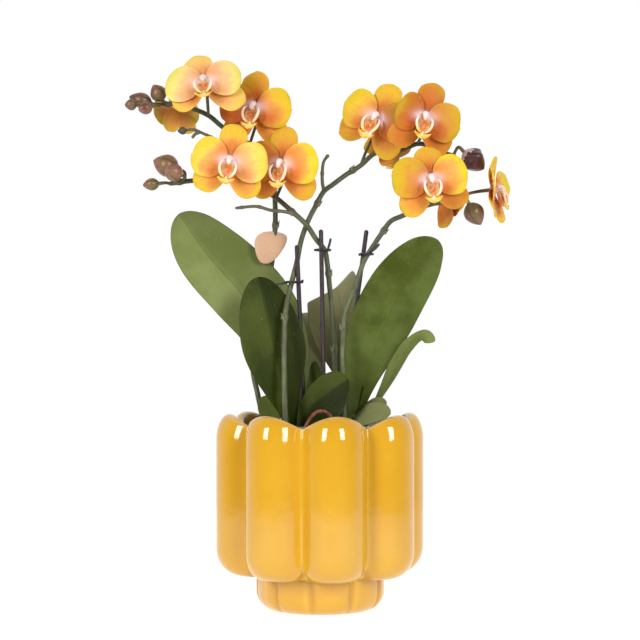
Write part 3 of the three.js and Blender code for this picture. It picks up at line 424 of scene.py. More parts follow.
# Grower pot: a thin cup of clear plastic, blow moulded with a turned rim, that stands on the ledge
# inside the ceramic pot and holds the bark.
CUP_BOTTOM = (37, 25.8)  # radius and height
CUP_RIM = (45.2, 115)
CUP_NECK = (CUP_RIM[0] - 1.6, CUP_RIM[1] - 5)  # where the wall steps out to the rim
CUP_TURN = 1.3  # radius of the rim's turned edge
CUP_WALL = 1.0


def revolve(profile, around=96, **marks):
    """A closed body from an outline of (radius, height) points turned once round the axis."""
    radius, height = np.array(profile, float).T
    turn = 2 * np.pi * np.arange(around) / around
    x = radius[:, None] * np.cos(turn)
    y = radius[:, None] * np.sin(turn)
    return skin(np.stack([x, y, np.broadcast_to(height[:, None], x.shape)], axis=-1), **marks)


def cup_profile():
    """Up the outside, round the rim as a half circle, and down the inside one wall further in."""
    radius, low = CUP_BOTTOM
    outside = [(12, low), (radius - 2, low), (radius, low + 2), CUP_NECK, (CUP_RIM[0], CUP_NECK[1] + 1)]
    swing = np.linspace(0, np.pi, 9)
    rim = np.stack([np.cos(swing) - 1, np.sin(swing) - 1], axis=1) * CUP_TURN + CUP_RIM
    inside = [(CUP_NECK[0] - CUP_WALL, CUP_NECK[1]), (radius - CUP_WALL, low + 2.6)]
    inside += [(radius - 3, low + CUP_WALL), (12, low + CUP_WALL)]
    return [*outside, *rim, *inside]


clear = Finish(
    "clear_plastic", Base_Color=(0.86, 0.89, 0.87, 1), Transmission_Weight=0.5, IOR=1.46, Alpha=0.35
)
clear.paint("Roughness", clear.span(clear.noise(clear.place(), 60), 0.3, 0.7, 0.08, 0.3))
make_piece("clear_cup", [revolve(cup_profile())], clear, "clear_plastic", "grower_pot")


# Bark: chips of pine bark, split and sieved, heaped to an uneven top inside the clear cup. A body
# of packed bark fills the cup below them.
BARK_TOP = 107.5
BARK_BOTTOM = 30
BARK_GAP = 0.7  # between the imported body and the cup's wall
CHIP_COUNT = 520
CHIP_SPREAD = 39.5
CHIP_LEAST = (3.0, 1.8, 0.9)  # half sizes of the smallest and the largest chip
CHIP_MOST = (6.2, 3.6, 2.0)
CHIP_ROUGH = 0.16
CHIP_TILT = (0.35, 0.3)  # spread of its two tilts, in radians
bark_random = np.random.default_rng(11)


def packed_bark():
    """A plug that follows the cup's taper, with small lumps down its side and low waves over its top."""
    turn = 2 * np.pi * np.arange(72) / 72
    taper = (CUP_NECK[0] - CUP_BOTTOM[0]) / (CUP_NECK[1] - CUP_BOTTOM[1])

    def inside(height):
        return CUP_BOTTOM[0] + taper * (height - CUP_BOTTOM[1]) - CUP_WALL - BARK_GAP

    rings = [level_ring(radius, BARK_BOTTOM, turn) for radius in (10, inside(BARK_BOTTOM))]
    for share in np.linspace(0, 1, 16):
        height = mix(BARK_BOTTOM, BARK_TOP - 4, share)
        lumps = 0.25 * np.sin(9 * turn + 14 * share) * np.sin(40 * share)
        rings.append(level_ring(inside(height) - 0.3 + lumps, height, turn))
    for share in np.linspace(0.97, 0.1, 12):
        radius = inside(BARK_TOP) * share
        waves = 0.9 * np.sin(radius * np.cos(turn) / 5) * np.cos(radius * np.sin(turn) / 6)
        rings.append(level_ring(radius, BARK_TOP - 2.5 + waves, turn))
    return skin(np.array(rings), shade=0.2)


def ball_grid(lifts, around):
    """A ball of radius one: a ring of points at each angle above its middle."""
    lift = np.array(lifts)[:, None]
    turn = 2 * np.pi * np.arange(around)[None, :] / around
    out = np.cos(lift)
    return np.stack([out * np.cos(turn), out * np.sin(turn), np.sin(lift) + 0 * turn], axis=-1)


def chips():
    """Rounded blocks: a ball of six rings whose points are pulled out to a box's corners, stretched
    to a long flat chip, roughened, turned at random and laid evenly by the golden angle."""
    round_block = ball_grid(np.radians([-72, -38, -8, 20, 48, 76]), 9)
    block = np.sign(round_block) * np.abs(round_block) ** 0.55
    made = []
    for i in range(CHIP_COUNT):
        size = bark_random.uniform(CHIP_LEAST, CHIP_MOST)
        rough = 1 + CHIP_ROUGH * bark_random.standard_normal(block.shape[:2])[..., None]
        tilt = bark_random.normal(0, [*CHIP_TILT, 1])
        tilt[2] = bark_random.uniform(0, 2 * np.pi)
        (ca, cb, cc), (sa, sb, sc) = np.cos(tilt), np.sin(tilt)
        about_x = np.array([[1, 0, 0], [0, ca, -sa], [0, sa, ca]])
        about_y = np.array([[cb, 0, sb], [0, 1, 0], [-sb, 0, cb]])
        about_z = np.array([[cc, -sc, 0], [sc, cc, 0], [0, 0, 1]])
        out = (CHIP_SPREAD - 0.55 * size[0]) * np.sqrt((i + 0.5) / CHIP_COUNT)
        turn = i * np.pi * (3 - np.sqrt(5))
        high = BARK_TOP - 1.6 + bark_random.uniform(-1.2, 1.9)
        centre = np.array([out * np.cos(turn), out * np.sin(turn), high])
        grid = (block * rough * size) @ (about_z @ about_y @ about_x).T + centre
        made.append(skin(grid, shade=bark_random.uniform()))
    return made


bark = Finish("bark", Roughness=0.88, Specular_IOR_Level=0.25)
bark_grain = bark.noise(bark.place((1, 1, 2.6)), 420, 6, 0.65)
bark_colour = bark.ramp(
    bark.maths("ADD", bark.mark("shade", 0.55), bark.maths("MULTIPLY", bark_grain, 0.5)),
    [
        (0.1, (0.025, 0.011, 0.006)), (0.45, (0.09, 0.038, 0.018)), (0.75, (0.2, 0.09, 0.04)),
        (1.0, (0.34, 0.18, 0.09)),
    ],
)
bark.paint("Base Color", bark_colour)
bark.bump(bark_grain, 0.0009)
make_piece("bark_chips", [packed_bark(), *chips()], bark, "bark", "bark")


# Leaves: eleven thick fleshy blades, folded along the midrib into a channel at the base, where they
# clasp the plant's short crown. The skin is waxy, dark green above and paler below, with fine
# lengthwise veins and a thin dark margin. Painted shade darkens one half of some leaves, and dull
# turns the green to olive.
CROWNS = {"crown_left": (-17.5, -1.5), "crown_right": (20.5, 0.0)}
CROWN_PROFILE = (  # share of the radius, and height
    (0.8, 92), (1, 102), (0.98, 108), (0.95, 113), (0.78, 119), (0.3, 121),
)
CROWN_RADIUS = 5.6
LEAF_BASE = 0.21
LEAF_WIDEST = 0.58
LEAF_THICKNESS = (1.9, 0.9)  # at the midrib and near the edge
LEAF_CHANNEL = (0.35, 1.1)  # depth and half width of the narrow channel along the midrib
LEAF_WAVE = 0.03  # of the margin, as a share of the half width

# Each leaf: spine from the crown to the tip, the side it faces, its shape, its colour and its painted shade
LEAVES = {
    "leaf_upper_left": {
        "spine": [
            (-18, 3, 112), (-19.2, 5.5, 126), (-22.4, 8, 148), (-34.5, 11, 175.8), (-50.8, 13.5, 197.5),
            (-71.4, 13.5, 221), (-83.6, 11, 238), (-89.5, 8, 246.6),
        ],
        "face": (-0.1, -0.92, 0.35), "half_width": 23.4, "fold": 0.24,
        "swell": 1.5, "lean": 0.3, "tone": 0.8, "dusk": 0.35,
    },
    "leaf_front_left": {
        "spine": [
            (-18.5, -5, 112), (-20, -10.5, 123), (-24, -14, 139.5), (-28, -15.5, 158),
            (-32.3, -15.5, 176.5), (-36, -14.5, 193), (-39, -13, 206),
        ],
        "face": (0.17, -0.94, 0.2), "half_width": 20, "fold": 0.22,
        "tip": 1.7, "tone": 0.2, "dusk": 0.85,
    },
    "leaf_right": {
        "spine": [
            (22, -1, 112), (23.2, 1, 124), (27.6, 3, 142.5), (33.3, 4, 160.3), (41.3, 4, 179.3),
            (51.6, 2, 200.3), (63.8, -2, 218.5), (73.5, -6, 229.2),
        ],
        "face": (0.1, -0.97, 0.2), "half_width": 19.4, "fold": 0.26,
        "swell": 1.7, "lean": -0.3, "tone": 0.4, "dusk": 0.15,
    },
    "leaf_back_right": {
        "spine": [
            (21.2, 5, 112), (20.5, 13, 125), (19, 20, 143), (16.5, 27, 165), (14, 36, 187), (11, 49, 200.5),
            (10, 66, 199), (10, 80, 190),
        ],
        "face": (-0.5, -0.5, 0.7), "half_width": 19, "fold": 0.22,
        "swell": 4, "lean": -0.6, "tone": 0.5, "dull": 0.8,
    },
    "leaf_back_left": {
        "spine": [
            (-12.6, 4.2, 111), (-10.6, 14, 121), (-10, 27, 137), (-10, 38, 155), (-11.5, 52, 172),
            (-14, 68, 183), (-18, 84, 185),
        ],
        "face": (0.12, -0.5, 0.85), "half_width": 14, "fold": 0.25,
        "tone": 1.0, "dull": 0.9,
    },
    "leaf_low_front": {
        "spine": [
            (-13.8, -7.3, 111), (-11, -13.5, 119), (-5, -17.5, 127.5), (4, -21.5, 134.5), (11, -24, 139.5),
            (17, -26, 143.5),
        ],
        "face": (-0.22, -0.93, 0.3), "half_width": 14.5, "fold": 0.15,
        "lean": 0.7, "tip": 2, "tone": 0.15, "dusk": 0.85,
    },
    "leaf_slender_right": {
        "spine": [
            (27, 2, 111), (31.5, 1.5, 122), (37.3, -4, 132.5), (43, -9, 143), (48.8, -11, 153.5),
            (55, -13, 163.5), (62.5, -13, 169.5), (71, -13, 167),
        ],
        "face": (-0.76, -0.44, 0.48), "half_width": 8.6, "fold": 0.2,
        "swell": 3, "tip": 1.8, "tone": 0.75,
    },
    "leaf_over_rim": {
        "spine": [
            (20.5, -6, 111), (20.5, -13, 116.5), (26, -20, 120), (34.5, -25.5, 122.5), (42.5, -29, 121.8),
        ],
        "face": (-0.1, -0.72, 0.69), "half_width": 9, "fold": 0.12,
        "swell": 1.1, "tone": 0.6, "dull": 0.5,
    },
    "leaf_short_right": {
        "spine": [
            (25.2, -4.2, 110), (27.5, -8, 117.5), (31.5, -11, 124), (36.5, -13, 127.8), (41, -13.5, 128.5),
        ],
        "face": (-0.1, -0.75, 0.65), "half_width": 6.2, "fold": 0.15,
        "swell": 1.6, "tone": 0.4, "dull": 0.5,
    },
    "leaf_short_back": {
        "spine": [
            (-24.2, -1.2, 111), (-29, 4, 115), (-32, 9, 122.5), (-36, 11, 132),
        ],
        "face": (0.1, -0.92, 0.3), "half_width": 7, "fold": 0.2,
        "tone": 0.5,
    },
    "leaf_young": {
        "spine": [
            (-10.8, -1.5, 112), (-5.8, 3, 124), (-4, 7.5, 139), (-3.6, 10, 154),
        ],
        "face": (0.2, -0.95, 0.1), "half_width": 4.5, "fold": 0.3,
        "tone": 0.35,
    },
}


def unit(vectors):
    """Each vector at a length of one."""
    return vectors / np.maximum(np.linalg.norm(vectors, axis=-1, keepdims=True), 1e-9)


def smooth_path(points, count):
    """A curve through the points, read at even steps of its length. Each stretch is a cubic whose end
    slopes weigh its neighbours by the square root of their distance, so that no stretch overshoots."""
    p = np.array(points, float)
    p = np.vstack([2 * p[0] - p[1], p, 2 * p[-1] - p[-2]])
    gap = np.sqrt(np.linalg.norm(np.diff(p, axis=0), axis=1))[:, None]
    before, start, end, after = p[:-3], p[1:-2], p[2:-1], p[3:]
    g0, g1, g2 = gap[:-2], gap[1:-1], gap[2:]
    leave = g1 * ((start - before) / g0 - (end - before) / (g0 + g1) + (end - start) / g1)
    arrive = g1 * ((end - start) / g1 - (after - start) / (g1 + g2) + (after - end) / g2)
    t = np.linspace(0, 1, 24, endpoint=False)[None, :, None]
    cubic = (2 * t**3 - 3 * t**2 + 1) * start[:, None] + (t**3 - 2 * t**2 + t) * leave[:, None]
    cubic = cubic + (3 * t**2 - 2 * t**3) * end[:, None] + (t**3 - t**2) * arrive[:, None]
    dense = np.vstack([cubic.reshape(-1, 3), p[-2]])
    run = np.concatenate([[0], np.cumsum(np.linalg.norm(np.diff(dense, axis=0), axis=1))])
    even = np.linspace(0, run[-1], count)
    return np.stack([np.interp(even, run, dense[:, axis]) for axis in range(3)], axis=1)


def blade(middle, thickness, rows, around, **marks):
    """A thin closed body round the surface middle(u, v). A row is a ring whose v runs as a cosine out
    to one edge and back, and its two faces part by the local thickness times the root of the sine,
    so the edges are round. Rows crowd towards the base and the tip as a cosine too."""
    u = ((1 - np.cos(np.linspace(0, np.pi, rows))) / 2)[:, None]
    turn = 2 * np.pi * (np.arange(around) + 0.5)[None, :] / around
    v, face = np.cos(turn), np.sin(turn)
    inside = np.clip(u, 0.02, 0.97)
    step = 0.004
    along = middle(inside + step, v) - middle(inside - step, v)
    across = middle(inside, v + step) - middle(inside, v - step)
    normal = unit(np.cross(along, across))
    closing = np.sqrt(np.clip(1 - u**10, 0, 1))
    apart = thickness(u, v) / 2 * closing * np.sign(face) * np.abs(face) ** 0.5
    grid = middle(u, v) + normal * apart[..., None]
    values = {name: value(u, v) if callable(value) else value for name, value in marks.items()}
    return skin(grid, along=u, across=v, face=face, **values)


def leaf_outline(u, swell, tip):
    """Share of the half width along a leaf: a narrow base that swells as a power of a sine, widest past
    the middle, and a tip that is rounder the higher its power."""
    run = np.clip(u / LEAF_WIDEST, 0, 1)
    over = np.clip((u - LEAF_WIDEST) / (1 - LEAF_WIDEST), 0, 1)
    opening = mix(LEAF_BASE, 1, np.sin(run * np.pi / 2) ** swell)
    return np.where(u < LEAF_WIDEST, opening, np.sqrt(1 - over**tip))


def leaf_skin(leaf):
    """The leaf's middle surface stands on its spine: v runs across it at right angles to the spine and
    to the side it faces, both halves rise to that side, and the margin waves a little. A lean makes
    one half broader than the other towards the base."""
    spine = smooth_path(leaf["spine"], 240)
    heading = unit(np.gradient(spine, axis=0))
    steps = np.linspace(0, 1, len(spine))
    towards = unit(np.array(leaf["face"], float))
    half_width, lean = leaf["half_width"], leaf.get("lean", 0)
    phase = half_width * 0.37  # so that each leaf waves in its own way

    def middle(u, v):
        u = np.clip(u, 0, 1)
        centre = np.stack([np.interp(u, steps, spine[:, axis]) for axis in range(3)], axis=-1)
        along = unit(np.stack([np.interp(u, steps, heading[:, axis]) for axis in range(3)], axis=-1))
        across = unit(np.cross(along, towards))
        out = np.cross(across, along)
        reach = half_width * leaf_outline(u, leaf.get("swell", 1.9), leaf.get("tip", 2.6))
        folded = leaf["fold"] * reach * (1.25 * np.abs(v) ** 1.15 - 0.25 * v * v) * (1 - 0.35 * u)
        wave = LEAF_WAVE * half_width * np.sin(2 * np.pi * (1.7 * u + phase) + np.sign(v)) * v**2 * u
        channel = -LEAF_CHANNEL[0] * bell(v * half_width, LEAF_CHANNEL[1]) * (1 - 0.7 * u)
        raised = folded + wave + channel
        aside = reach * v * (1 + lean * v * (1 - u))
        return centre + across * aside[..., None] + out * raised[..., None]

    def thickness(u, v):
        return mix(*LEAF_THICKNESS, np.minimum(np.abs(v) * 2.2, 1) ** 0.8) * mix(1.15, 0.8, u)

    # Painted shade over one half of the leaf, from the midrib out to the edge.
    def dusk(u, v):
        return leaf.get("dusk", 0) * np.clip(v * 6 + 0.3, 0, 1)

    return blade(middle, thickness, 90, 60, tone=leaf["tone"], dull=leaf.get("dull", 0), dusk=dusk)


def moved(body, change):
    """The body with its points changed by a function."""
    return {**body, "points": change(body["points"])}


leaf_finish = Finish("leaf_green", Roughness=0.46, Specular_IOR_Level=0.07)
leaf_cloud = leaf_finish.noise(leaf_finish.place(), 34, 4)
leaf_strand = leaf_finish.node(
    "CombineXYZ",
    {
        "X": leaf_finish.mark("along", 5),
        "Y": leaf_finish.mark("across", 26),
        "Z": leaf_finish.mark("tone"),
    },
).outputs["Vector"]
leaf_veins = leaf_finish.noise(leaf_strand, 1.0, 3)
leaf_depth = leaf_finish.maths(
    "ADD", leaf_finish.mark("tone"), leaf_finish.span(leaf_cloud, 0.3, 0.7, -0.12, 0.12), clamp=True
)
leaf_above = leaf_finish.ramp(
    leaf_depth,
    [
        (0.0, (0.014, 0.022, 0.003)), (0.3, (0.052, 0.070, 0.008)), (0.6, (0.135, 0.175, 0.04)),
        (1.0, (0.24, 0.28, 0.1)),
    ],
)
# Painted shade darkens one half of some leaves.
leaf_above = leaf_finish.blend(leaf_finish.mark("dusk", 0.9), leaf_above, (0.012, 0.017, 0.003))
leaf_above = leaf_finish.blend(leaf_finish.mark("dull"), leaf_above, (0.25, 0.235, 0.12))
leaf_pale = leaf_finish.span(leaf_cloud, 0.3, 0.7)
leaf_below = leaf_finish.blend(leaf_pale, (0.13, 0.155, 0.07), (0.2, 0.215, 0.12))
leaf_under = leaf_finish.span(leaf_finish.mark("face"), -0.25, 0.25)
leaf_colour = leaf_finish.blend(leaf_under, leaf_above, leaf_below)
leaf_vein = leaf_finish.span(leaf_veins, 0.52, 0.75, 0.0, 0.09)
leaf_colour = leaf_finish.blend(leaf_vein, leaf_colour, (0.16, 0.22, 0.06))
leaf_aside = leaf_finish.maths("ABSOLUTE", leaf_finish.mark("across"))
leaf_edge = leaf_finish.span(leaf_aside, 0.965, 0.998, 0.0, 0.6)
leaf_colour = leaf_finish.blend(leaf_edge, leaf_colour, (0.05, 0.045, 0.02))
leaf_rib = leaf_finish.span(leaf_aside, 0.0, 0.035, 0.35, 0.0)
leaf_colour = leaf_finish.blend(leaf_rib, leaf_colour, (0.035, 0.05, 0.012))
leaf_specks = leaf_finish.span(leaf_finish.noise(leaf_finish.place(), 900, 2), 0.72, 0.77, 0.0, 0.4)
leaf_finish.paint("Base Color", leaf_finish.blend(leaf_specks, leaf_colour, (0.42, 0.45, 0.34)))
leaf_pores = leaf_finish.noise(leaf_finish.place(), 240, 2)
leaf_finish.bump(leaf_finish.maths("ADD", leaf_veins, leaf_pores), 0.0001)

for name, leaf in LEAVES.items():
    make_piece(f"{name}_blade", [leaf_skin(leaf)], leaf_finish, "leaf_green", name)
for name, (x, y) in CROWNS.items():
    outline = [(CROWN_RADIUS * share, height) for share, height in CROWN_PROFILE]
    crown = revolve(outline, 32, tone=0.7, across=0.3)
    placed = moved(crown, lambda points: points * (1, 0.9, 1) + (x, y, 0))
    make_piece(f"{name}_sheath", [placed], leaf_finish, "leaf_green", name)


# Aerial root: a wiry root that leaves the bark, arches over it and dives back in. Its spongy skin
# has dried to a reddish brown.
ROOT_PATH = [
    (-12, -37, 96), (-11, -37.5, 108), (-7, -37.5, 118.5), (-2, -37, 123.6), (3.5, -35, 123.5),
    (8, -32, 117), (9.5, -30.5, 108), (9.5, -30, 96),
]
ROOT_RADIUS = 1.1


def tube(path, radius, around=14, **marks):
    """A round body along a path. Its rings don't twist: each step carries the last ring's first
    direction on and takes out what leans along the path."""
    heading = unit(np.gradient(path, axis=0))
    side = np.zeros_like(path)
    least = np.eye(3)[np.argmin(np.abs(heading[0]))]
    side[0] = unit(np.cross(heading[0], least))
    for i in range(1, len(path)):
        side[i] = unit(side[i - 1] - heading[i] * (side[i - 1] @ heading[i]))
    other = np.cross(heading, side)
    turn = 2 * np.pi * np.arange(around) / around
    radius = np.broadcast_to(radius, (around, len(path))).T
    spokes = side[:, None] * np.cos(turn)[None, :, None] + other[:, None] * np.sin(turn)[None, :, None]
    grid = path[:, None] + spokes * radius[..., None]
    values = {name: np.broadcast_to(value, (around, len(path))).T for name, value in marks.items()}
    return skin(grid, **values)


def dome(run):
    """Height of a quarter circle that rises from 0 to 1 as run does, and stays there."""
    return np.sqrt(1 - (1 - np.clip(run, 0, 1)) ** 2)


def domed(count, reach):
    """Shares of a tube's radius along it: full, but closing as a quarter circle over reach steps."""
    return dome(np.minimum(np.arange(count), np.arange(count)[::-1]) / reach + 0.04)


root_path = smooth_path(ROOT_PATH, 90)
root_swell = 1 + 0.07 * np.sin(np.linspace(0, 31, 90)) + 0.05 * np.sin(np.linspace(0, 67, 90))
root = Finish("root_brown", Roughness=0.7)
root_grain = root.noise(root.place((1, 1, 0.5)), 500, 4)
root_colour = root.ramp(
    root_grain, [(0.3, (0.10, 0.028, 0.012)), (0.55, (0.22, 0.065, 0.028)), (0.75, (0.36, 0.16, 0.08))]
)
root.paint("Base Color", root_colour)
root.bump(root_grain, 0.0003)
make_piece("arched_root", [tube(root_path, ROOT_RADIUS * root_swell)], root, "root_brown", "aerial_root")


# Stakes: three straight plastic sticks, dark plum brown, extruded with a faint grain and cut to
# a rounded top. They stand in the bark and lean with the stems that they hold.
STAKES = {
    "stake_left": ((-8.4, -0.5, 80), (-14.6, -16.5, 225.8)),
    "stake_middle": ((3, 0, 80), (0.3, -7.2, 236)),
    "stake_right": ((7.9, 12.2, 80), (28.8, -1.4, 236)),
}
STAKE_RADIUS = 1.4
STAKE_DOME = 1.3  # height of the rounded top

stake_finish = Finish("stake_dark", Roughness=0.42)
stake_grain = stake_finish.noise(stake_finish.place((1, 1, 0.04)), 900, 3)
stake_colour = stake_finish.ramp(
    stake_grain, [(0.3, (0.012, 0.007, 0.009)), (0.6, (0.035, 0.018, 0.022)), (0.8, (0.07, 0.04, 0.045))]
)
stake_finish.paint("Base Color", stake_colour)
stake_finish.bump(stake_grain, 0.0002)
for name, (low, high) in STAKES.items():
    steps = np.concatenate([np.linspace(0, 0.985, 60), np.linspace(0.987, 1, 12)])[:, None]
    path = mix(np.array(low, float), np.array(high, float), steps)
    from_top = (1 - steps[:, 0]) * np.linalg.norm(path[-1] - path[0])
    radius = STAKE_RADIUS * dome(from_top / STAKE_DOME + 0.03)
    make_piece(f"{name}_stick", [tube(path, radius, 20)], stake_finish, "stake_dark", name)


# Flowers: eleven open blooms. Each has a dorsal sepal, two side sepals behind and two broad petals
# before them, joined at a small hub. They are thin and waxy, golden yellow towards the edge, salmon
# within and rose white at the heart. Tone runs from a pale creamy bloom, 0, to a terracotta one, 1.

# Each bloom: its middle, how it is turned in degrees, its size and tone. Where its five tepals aren't
# the common ones, it gives their turns, their reach, their shades of tone and how far they cup forward
BLOOMS = [
    {
        "at": (-71.4, -22, 324.6), "yaw": -6, "pitch": 25, "roll": -8, "size": 1.04, "tone": 0.0,
        "turns": (12, -20, 13, 0, 0), "reach": (1, 0.86, 1, 1, 0.95), "shades": (0.1, 0.35, 0.2, 0, 0),
    },
    {
        "at": (-40.7, -6, 312.2), "yaw": -15, "pitch": 5, "roll": 5, "size": 1.02, "tone": 0.85,
        "turns": (8, 0, 0, 0, -7), "shades": (0, 0.1, -0.2, 0.1, -0.2),
    },
    {
        "at": (-55.2, -34, 276), "yaw": 0, "pitch": 0, "roll": 9.5, "size": 1, "tone": 0.33,
        "turns": (0, -2, 2, 6, -3), "shades": (0.1, 0.15, 0.1, 0, -0.1),
    },
    {
        "at": (-23.9, -20, 275.4), "yaw": -16, "pitch": 0, "roll": 1, "size": 1.02, "tone": 0.58,
        "turns": (-3, -4, 0, 0, -7), "shades": (0.15, 0.45, 0.15, 0.4, -0.08),
    },
    {
        "at": (-91.4, 12, 313.4), "yaw": -150, "pitch": -12, "roll": 0, "size": 0.7, "tone": 0.3,
        "turns": (0, 14, -14, 24, -24),
    },
    {
        "at": (35.2, -9, 305.4), "yaw": -16, "pitch": 3, "roll": 25, "size": 1.02, "tone": 0.6,
        "turns": (0, -8, 0, 6, 0), "shades": (0, 0.25, 0.1, 0, 0.2),
    },
    {
        "at": (63.4, -28, 303.6), "yaw": 5, "pitch": 0, "roll": 11, "size": 0.98, "tone": 0.85,
        "turns": (-8, 0, 0, 0, -13), "reach": (1, 1, 1, 0.76, 1), "shades": (0.15, 0.1, 0.05, 0.15, -0.05),
    },
    {
        "at": (66.2, -44, 264), "yaw": 5, "pitch": 0, "roll": -5, "size": 1, "tone": 0.55,
        "turns": (0, 0, 9, 0, 0), "reach": (0.86, 1, 1, 1, 1), "shades": (0.15, 0.1, 0.35, 0.25, -0.1),
    },
    {
        "at": (40.3, 19, 287.4), "yaw": 160, "pitch": -40, "roll": 37, "size": 0.74, "tone": 0.75,
        "turns": (0, 0, -39, -12, 80),
    },
    {
        "at": (77.3, 12, 256), "yaw": 130, "pitch": -8, "roll": 74, "size": 0.82, "tone": 0.95,
        "turns": (0, 0, 0, 0, -109),
    },
    {"at": (107.3, -10, 260.5), "yaw": 72, "pitch": 5, "roll": 3, "size": 0.9, "tone": 0.5, "cup": 0.3},
]

# Each tepal: its width, the share of its length where it is widest, the power that it opens by, 1 for
# a petal, its turn round the hub in degrees, its length, its rise out of the face and its end's bend
SEPAL = {"width": 17.4, "widest": 0.6, "fill": 0.75, "petal": 0}
PETAL = {"width": 25, "widest": 0.56, "fill": 0.5, "petal": 1}
TEPALS = [
    {**SEPAL, "turn": 90, "length": 21, "rise": -1.3, "bend": -0.04},
    {**SEPAL, "turn": 229, "length": 24.2, "rise": -1.1, "bend": -0.1},
    {**SEPAL, "turn": 314, "length": 24.8, "rise": -2.1, "bend": -0.1},
    {**PETAL, "turn": 172, "length": 21.6, "rise": 1.4, "bend": -0.07},
    {**PETAL, "turn": 8, "length": 21.6, "rise": 1.9, "bend": -0.07},
]
TEPAL_THICKNESS = 0.75
TEPAL_START = 1.6  # how far from the bloom's middle it starts
TEPAL_CURL = 0.05
TEPAL_WAVE = 0.6
TEPAL_GROOVE = (0.45, 1.8)  # depth and half width
TEPAL_BELLY = 1.1
TEPAL_RIPPLE = 0.03
HEART_SPREAD = (6, 3.2)  # how far across and up the rose white heart reaches
EMBER_LOW = (8.5, -7.5)  # middle of the red patch and painted shade on each side below the heart
EMBER_LOW_SPREAD = (6, 5.5)
EMBER_HIGH = (0, 7.5)  # middle of the red patch and painted shade above the heart
EMBER_HIGH_SPREAD = (4, 6)
HUB = (3.4, 2.8)  # radius and depth
bloom_random = np.random.default_rng(5)


def bloom_frame(bloom):
    """A function from a bloom's own points (right, up, out of its face) to the plant's frame."""
    yaw, pitch, roll = np.radians([bloom["yaw"], bloom["pitch"], bloom["roll"]])
    out = np.array([np.sin(yaw) * np.cos(pitch), -np.cos(yaw) * np.cos(pitch), np.sin(pitch)])
    level = np.array([np.cos(yaw), np.sin(yaw), 0])
    upright = np.cross(out, level)
    up = upright * np.cos(roll) + level * np.sin(roll)
    right = level * np.cos(roll) - upright * np.sin(roll)
    axes = np.stack([right, up, out]) * bloom["size"]
    return lambda points: points @ axes + np.array(bloom["at"], float)


def tepal_outline(u, widest, fill):
    """Share of the half width: opens from a narrow claw as a power curve and rounds off at the tip."""
    opening = 1 - (1 - np.clip(u / widest, 0, 1)) ** 2.2
    closing = np.clip((u - widest) / (1 - widest), 0, 1)
    return np.where(u < widest, mix(0.07, 1, opening**fill), np.sqrt(1 - closing**2.3))


def tepal_skin(tepal, turn, reach, shade, bloom, to_plant):
    """A petal or sepal: its length runs out from the hub, its margins curve back as the square of v
    and wave a little, its end bends as the square of u, and a shallow groove runs down it. Two marks
    are bell curves round the bloom's middle: its glow, and the red patch below and above that, which
    also paints the shade where the tepals overlap."""
    angle = np.radians(tepal["turn"] + turn)
    waves = bloom_random.uniform(0, 2 * np.pi, 3)
    width, length = tepal["width"], tepal["length"] * reach

    def own(u, v):
        u = np.clip(u, 0, 1)
        half = width / 2 * tepal_outline(u, tepal["widest"], tepal["fill"])
        ripple = 1 + TEPAL_RIPPLE * np.sin(5 * u + waves[0] + np.sign(v)) * np.abs(v) ** 3
        run = TEPAL_START + length * u * ripple
        across = half * v
        curl = -TEPAL_CURL * width * v**2 * u
        wave = TEPAL_WAVE * np.sin(8 * u + waves[1] + 1.7 * v) * np.abs(v) ** 3 * u
        groove = -TEPAL_GROOVE[0] * bell(v * width, TEPAL_GROOVE[1]) * (1 - u)
        belly = TEPAL_BELLY * np.sin(np.pi * u) * (1 - v**2)
        bend = (tepal["bend"] + bloom.get("cup", 0)) * length * u**2
        x = run * np.cos(angle) - across * np.sin(angle)
        y = run * np.sin(angle) + across * np.cos(angle)
        return x, y, tepal["rise"] + bend + curl + wave + groove + belly

    def middle(u, v):
        return to_plant(np.stack(np.broadcast_arrays(*own(u, v)), axis=-1))

    def thickness(u, v):
        return TEPAL_THICKNESS * mix(1.25, 0.7, np.abs(v) ** 2 * np.minimum(u * 2, 1))

    def patch(x, y, at, spread):
        return bell(x - at[0], spread[0]) * bell(y - at[1], spread[1])

    def glow(u, v):
        x, y, _ = own(u, v)
        return 1.3 * patch(x, y, (0, -0.2), HEART_SPREAD)

    def ember(u, v):
        x, y, _ = own(u, v)
        low = patch(np.abs(x), y, EMBER_LOW, EMBER_LOW_SPREAD)
        return np.clip(low + patch(x, y, EMBER_HIGH, EMBER_HIGH_SPREAD), 0, 1)

    marks = {
        "tone": bloom["tone"] + shade + bloom_random.uniform(-0.05, 0.05),
        "petal": tepal["petal"],
        "margin": lambda u, v: 1 - (1 - v**2) * (1 - u**4),
        "high": lambda u, v: np.clip(own(u, v)[1] / 20, -1, 1),
        "glow": glow,
        "ember": ember,
    }
    return blade(middle, thickness, 34, 44, **marks)


def egg(radii, rows=10, around=16, **marks):
    """An egg of the given radii round the origin, with rings at even angles."""
    lifts = np.linspace(-np.pi / 2, np.pi / 2, rows + 2)[1:-1]
    return skin(ball_grid(lifts, around) * np.array(radii, float), **marks)


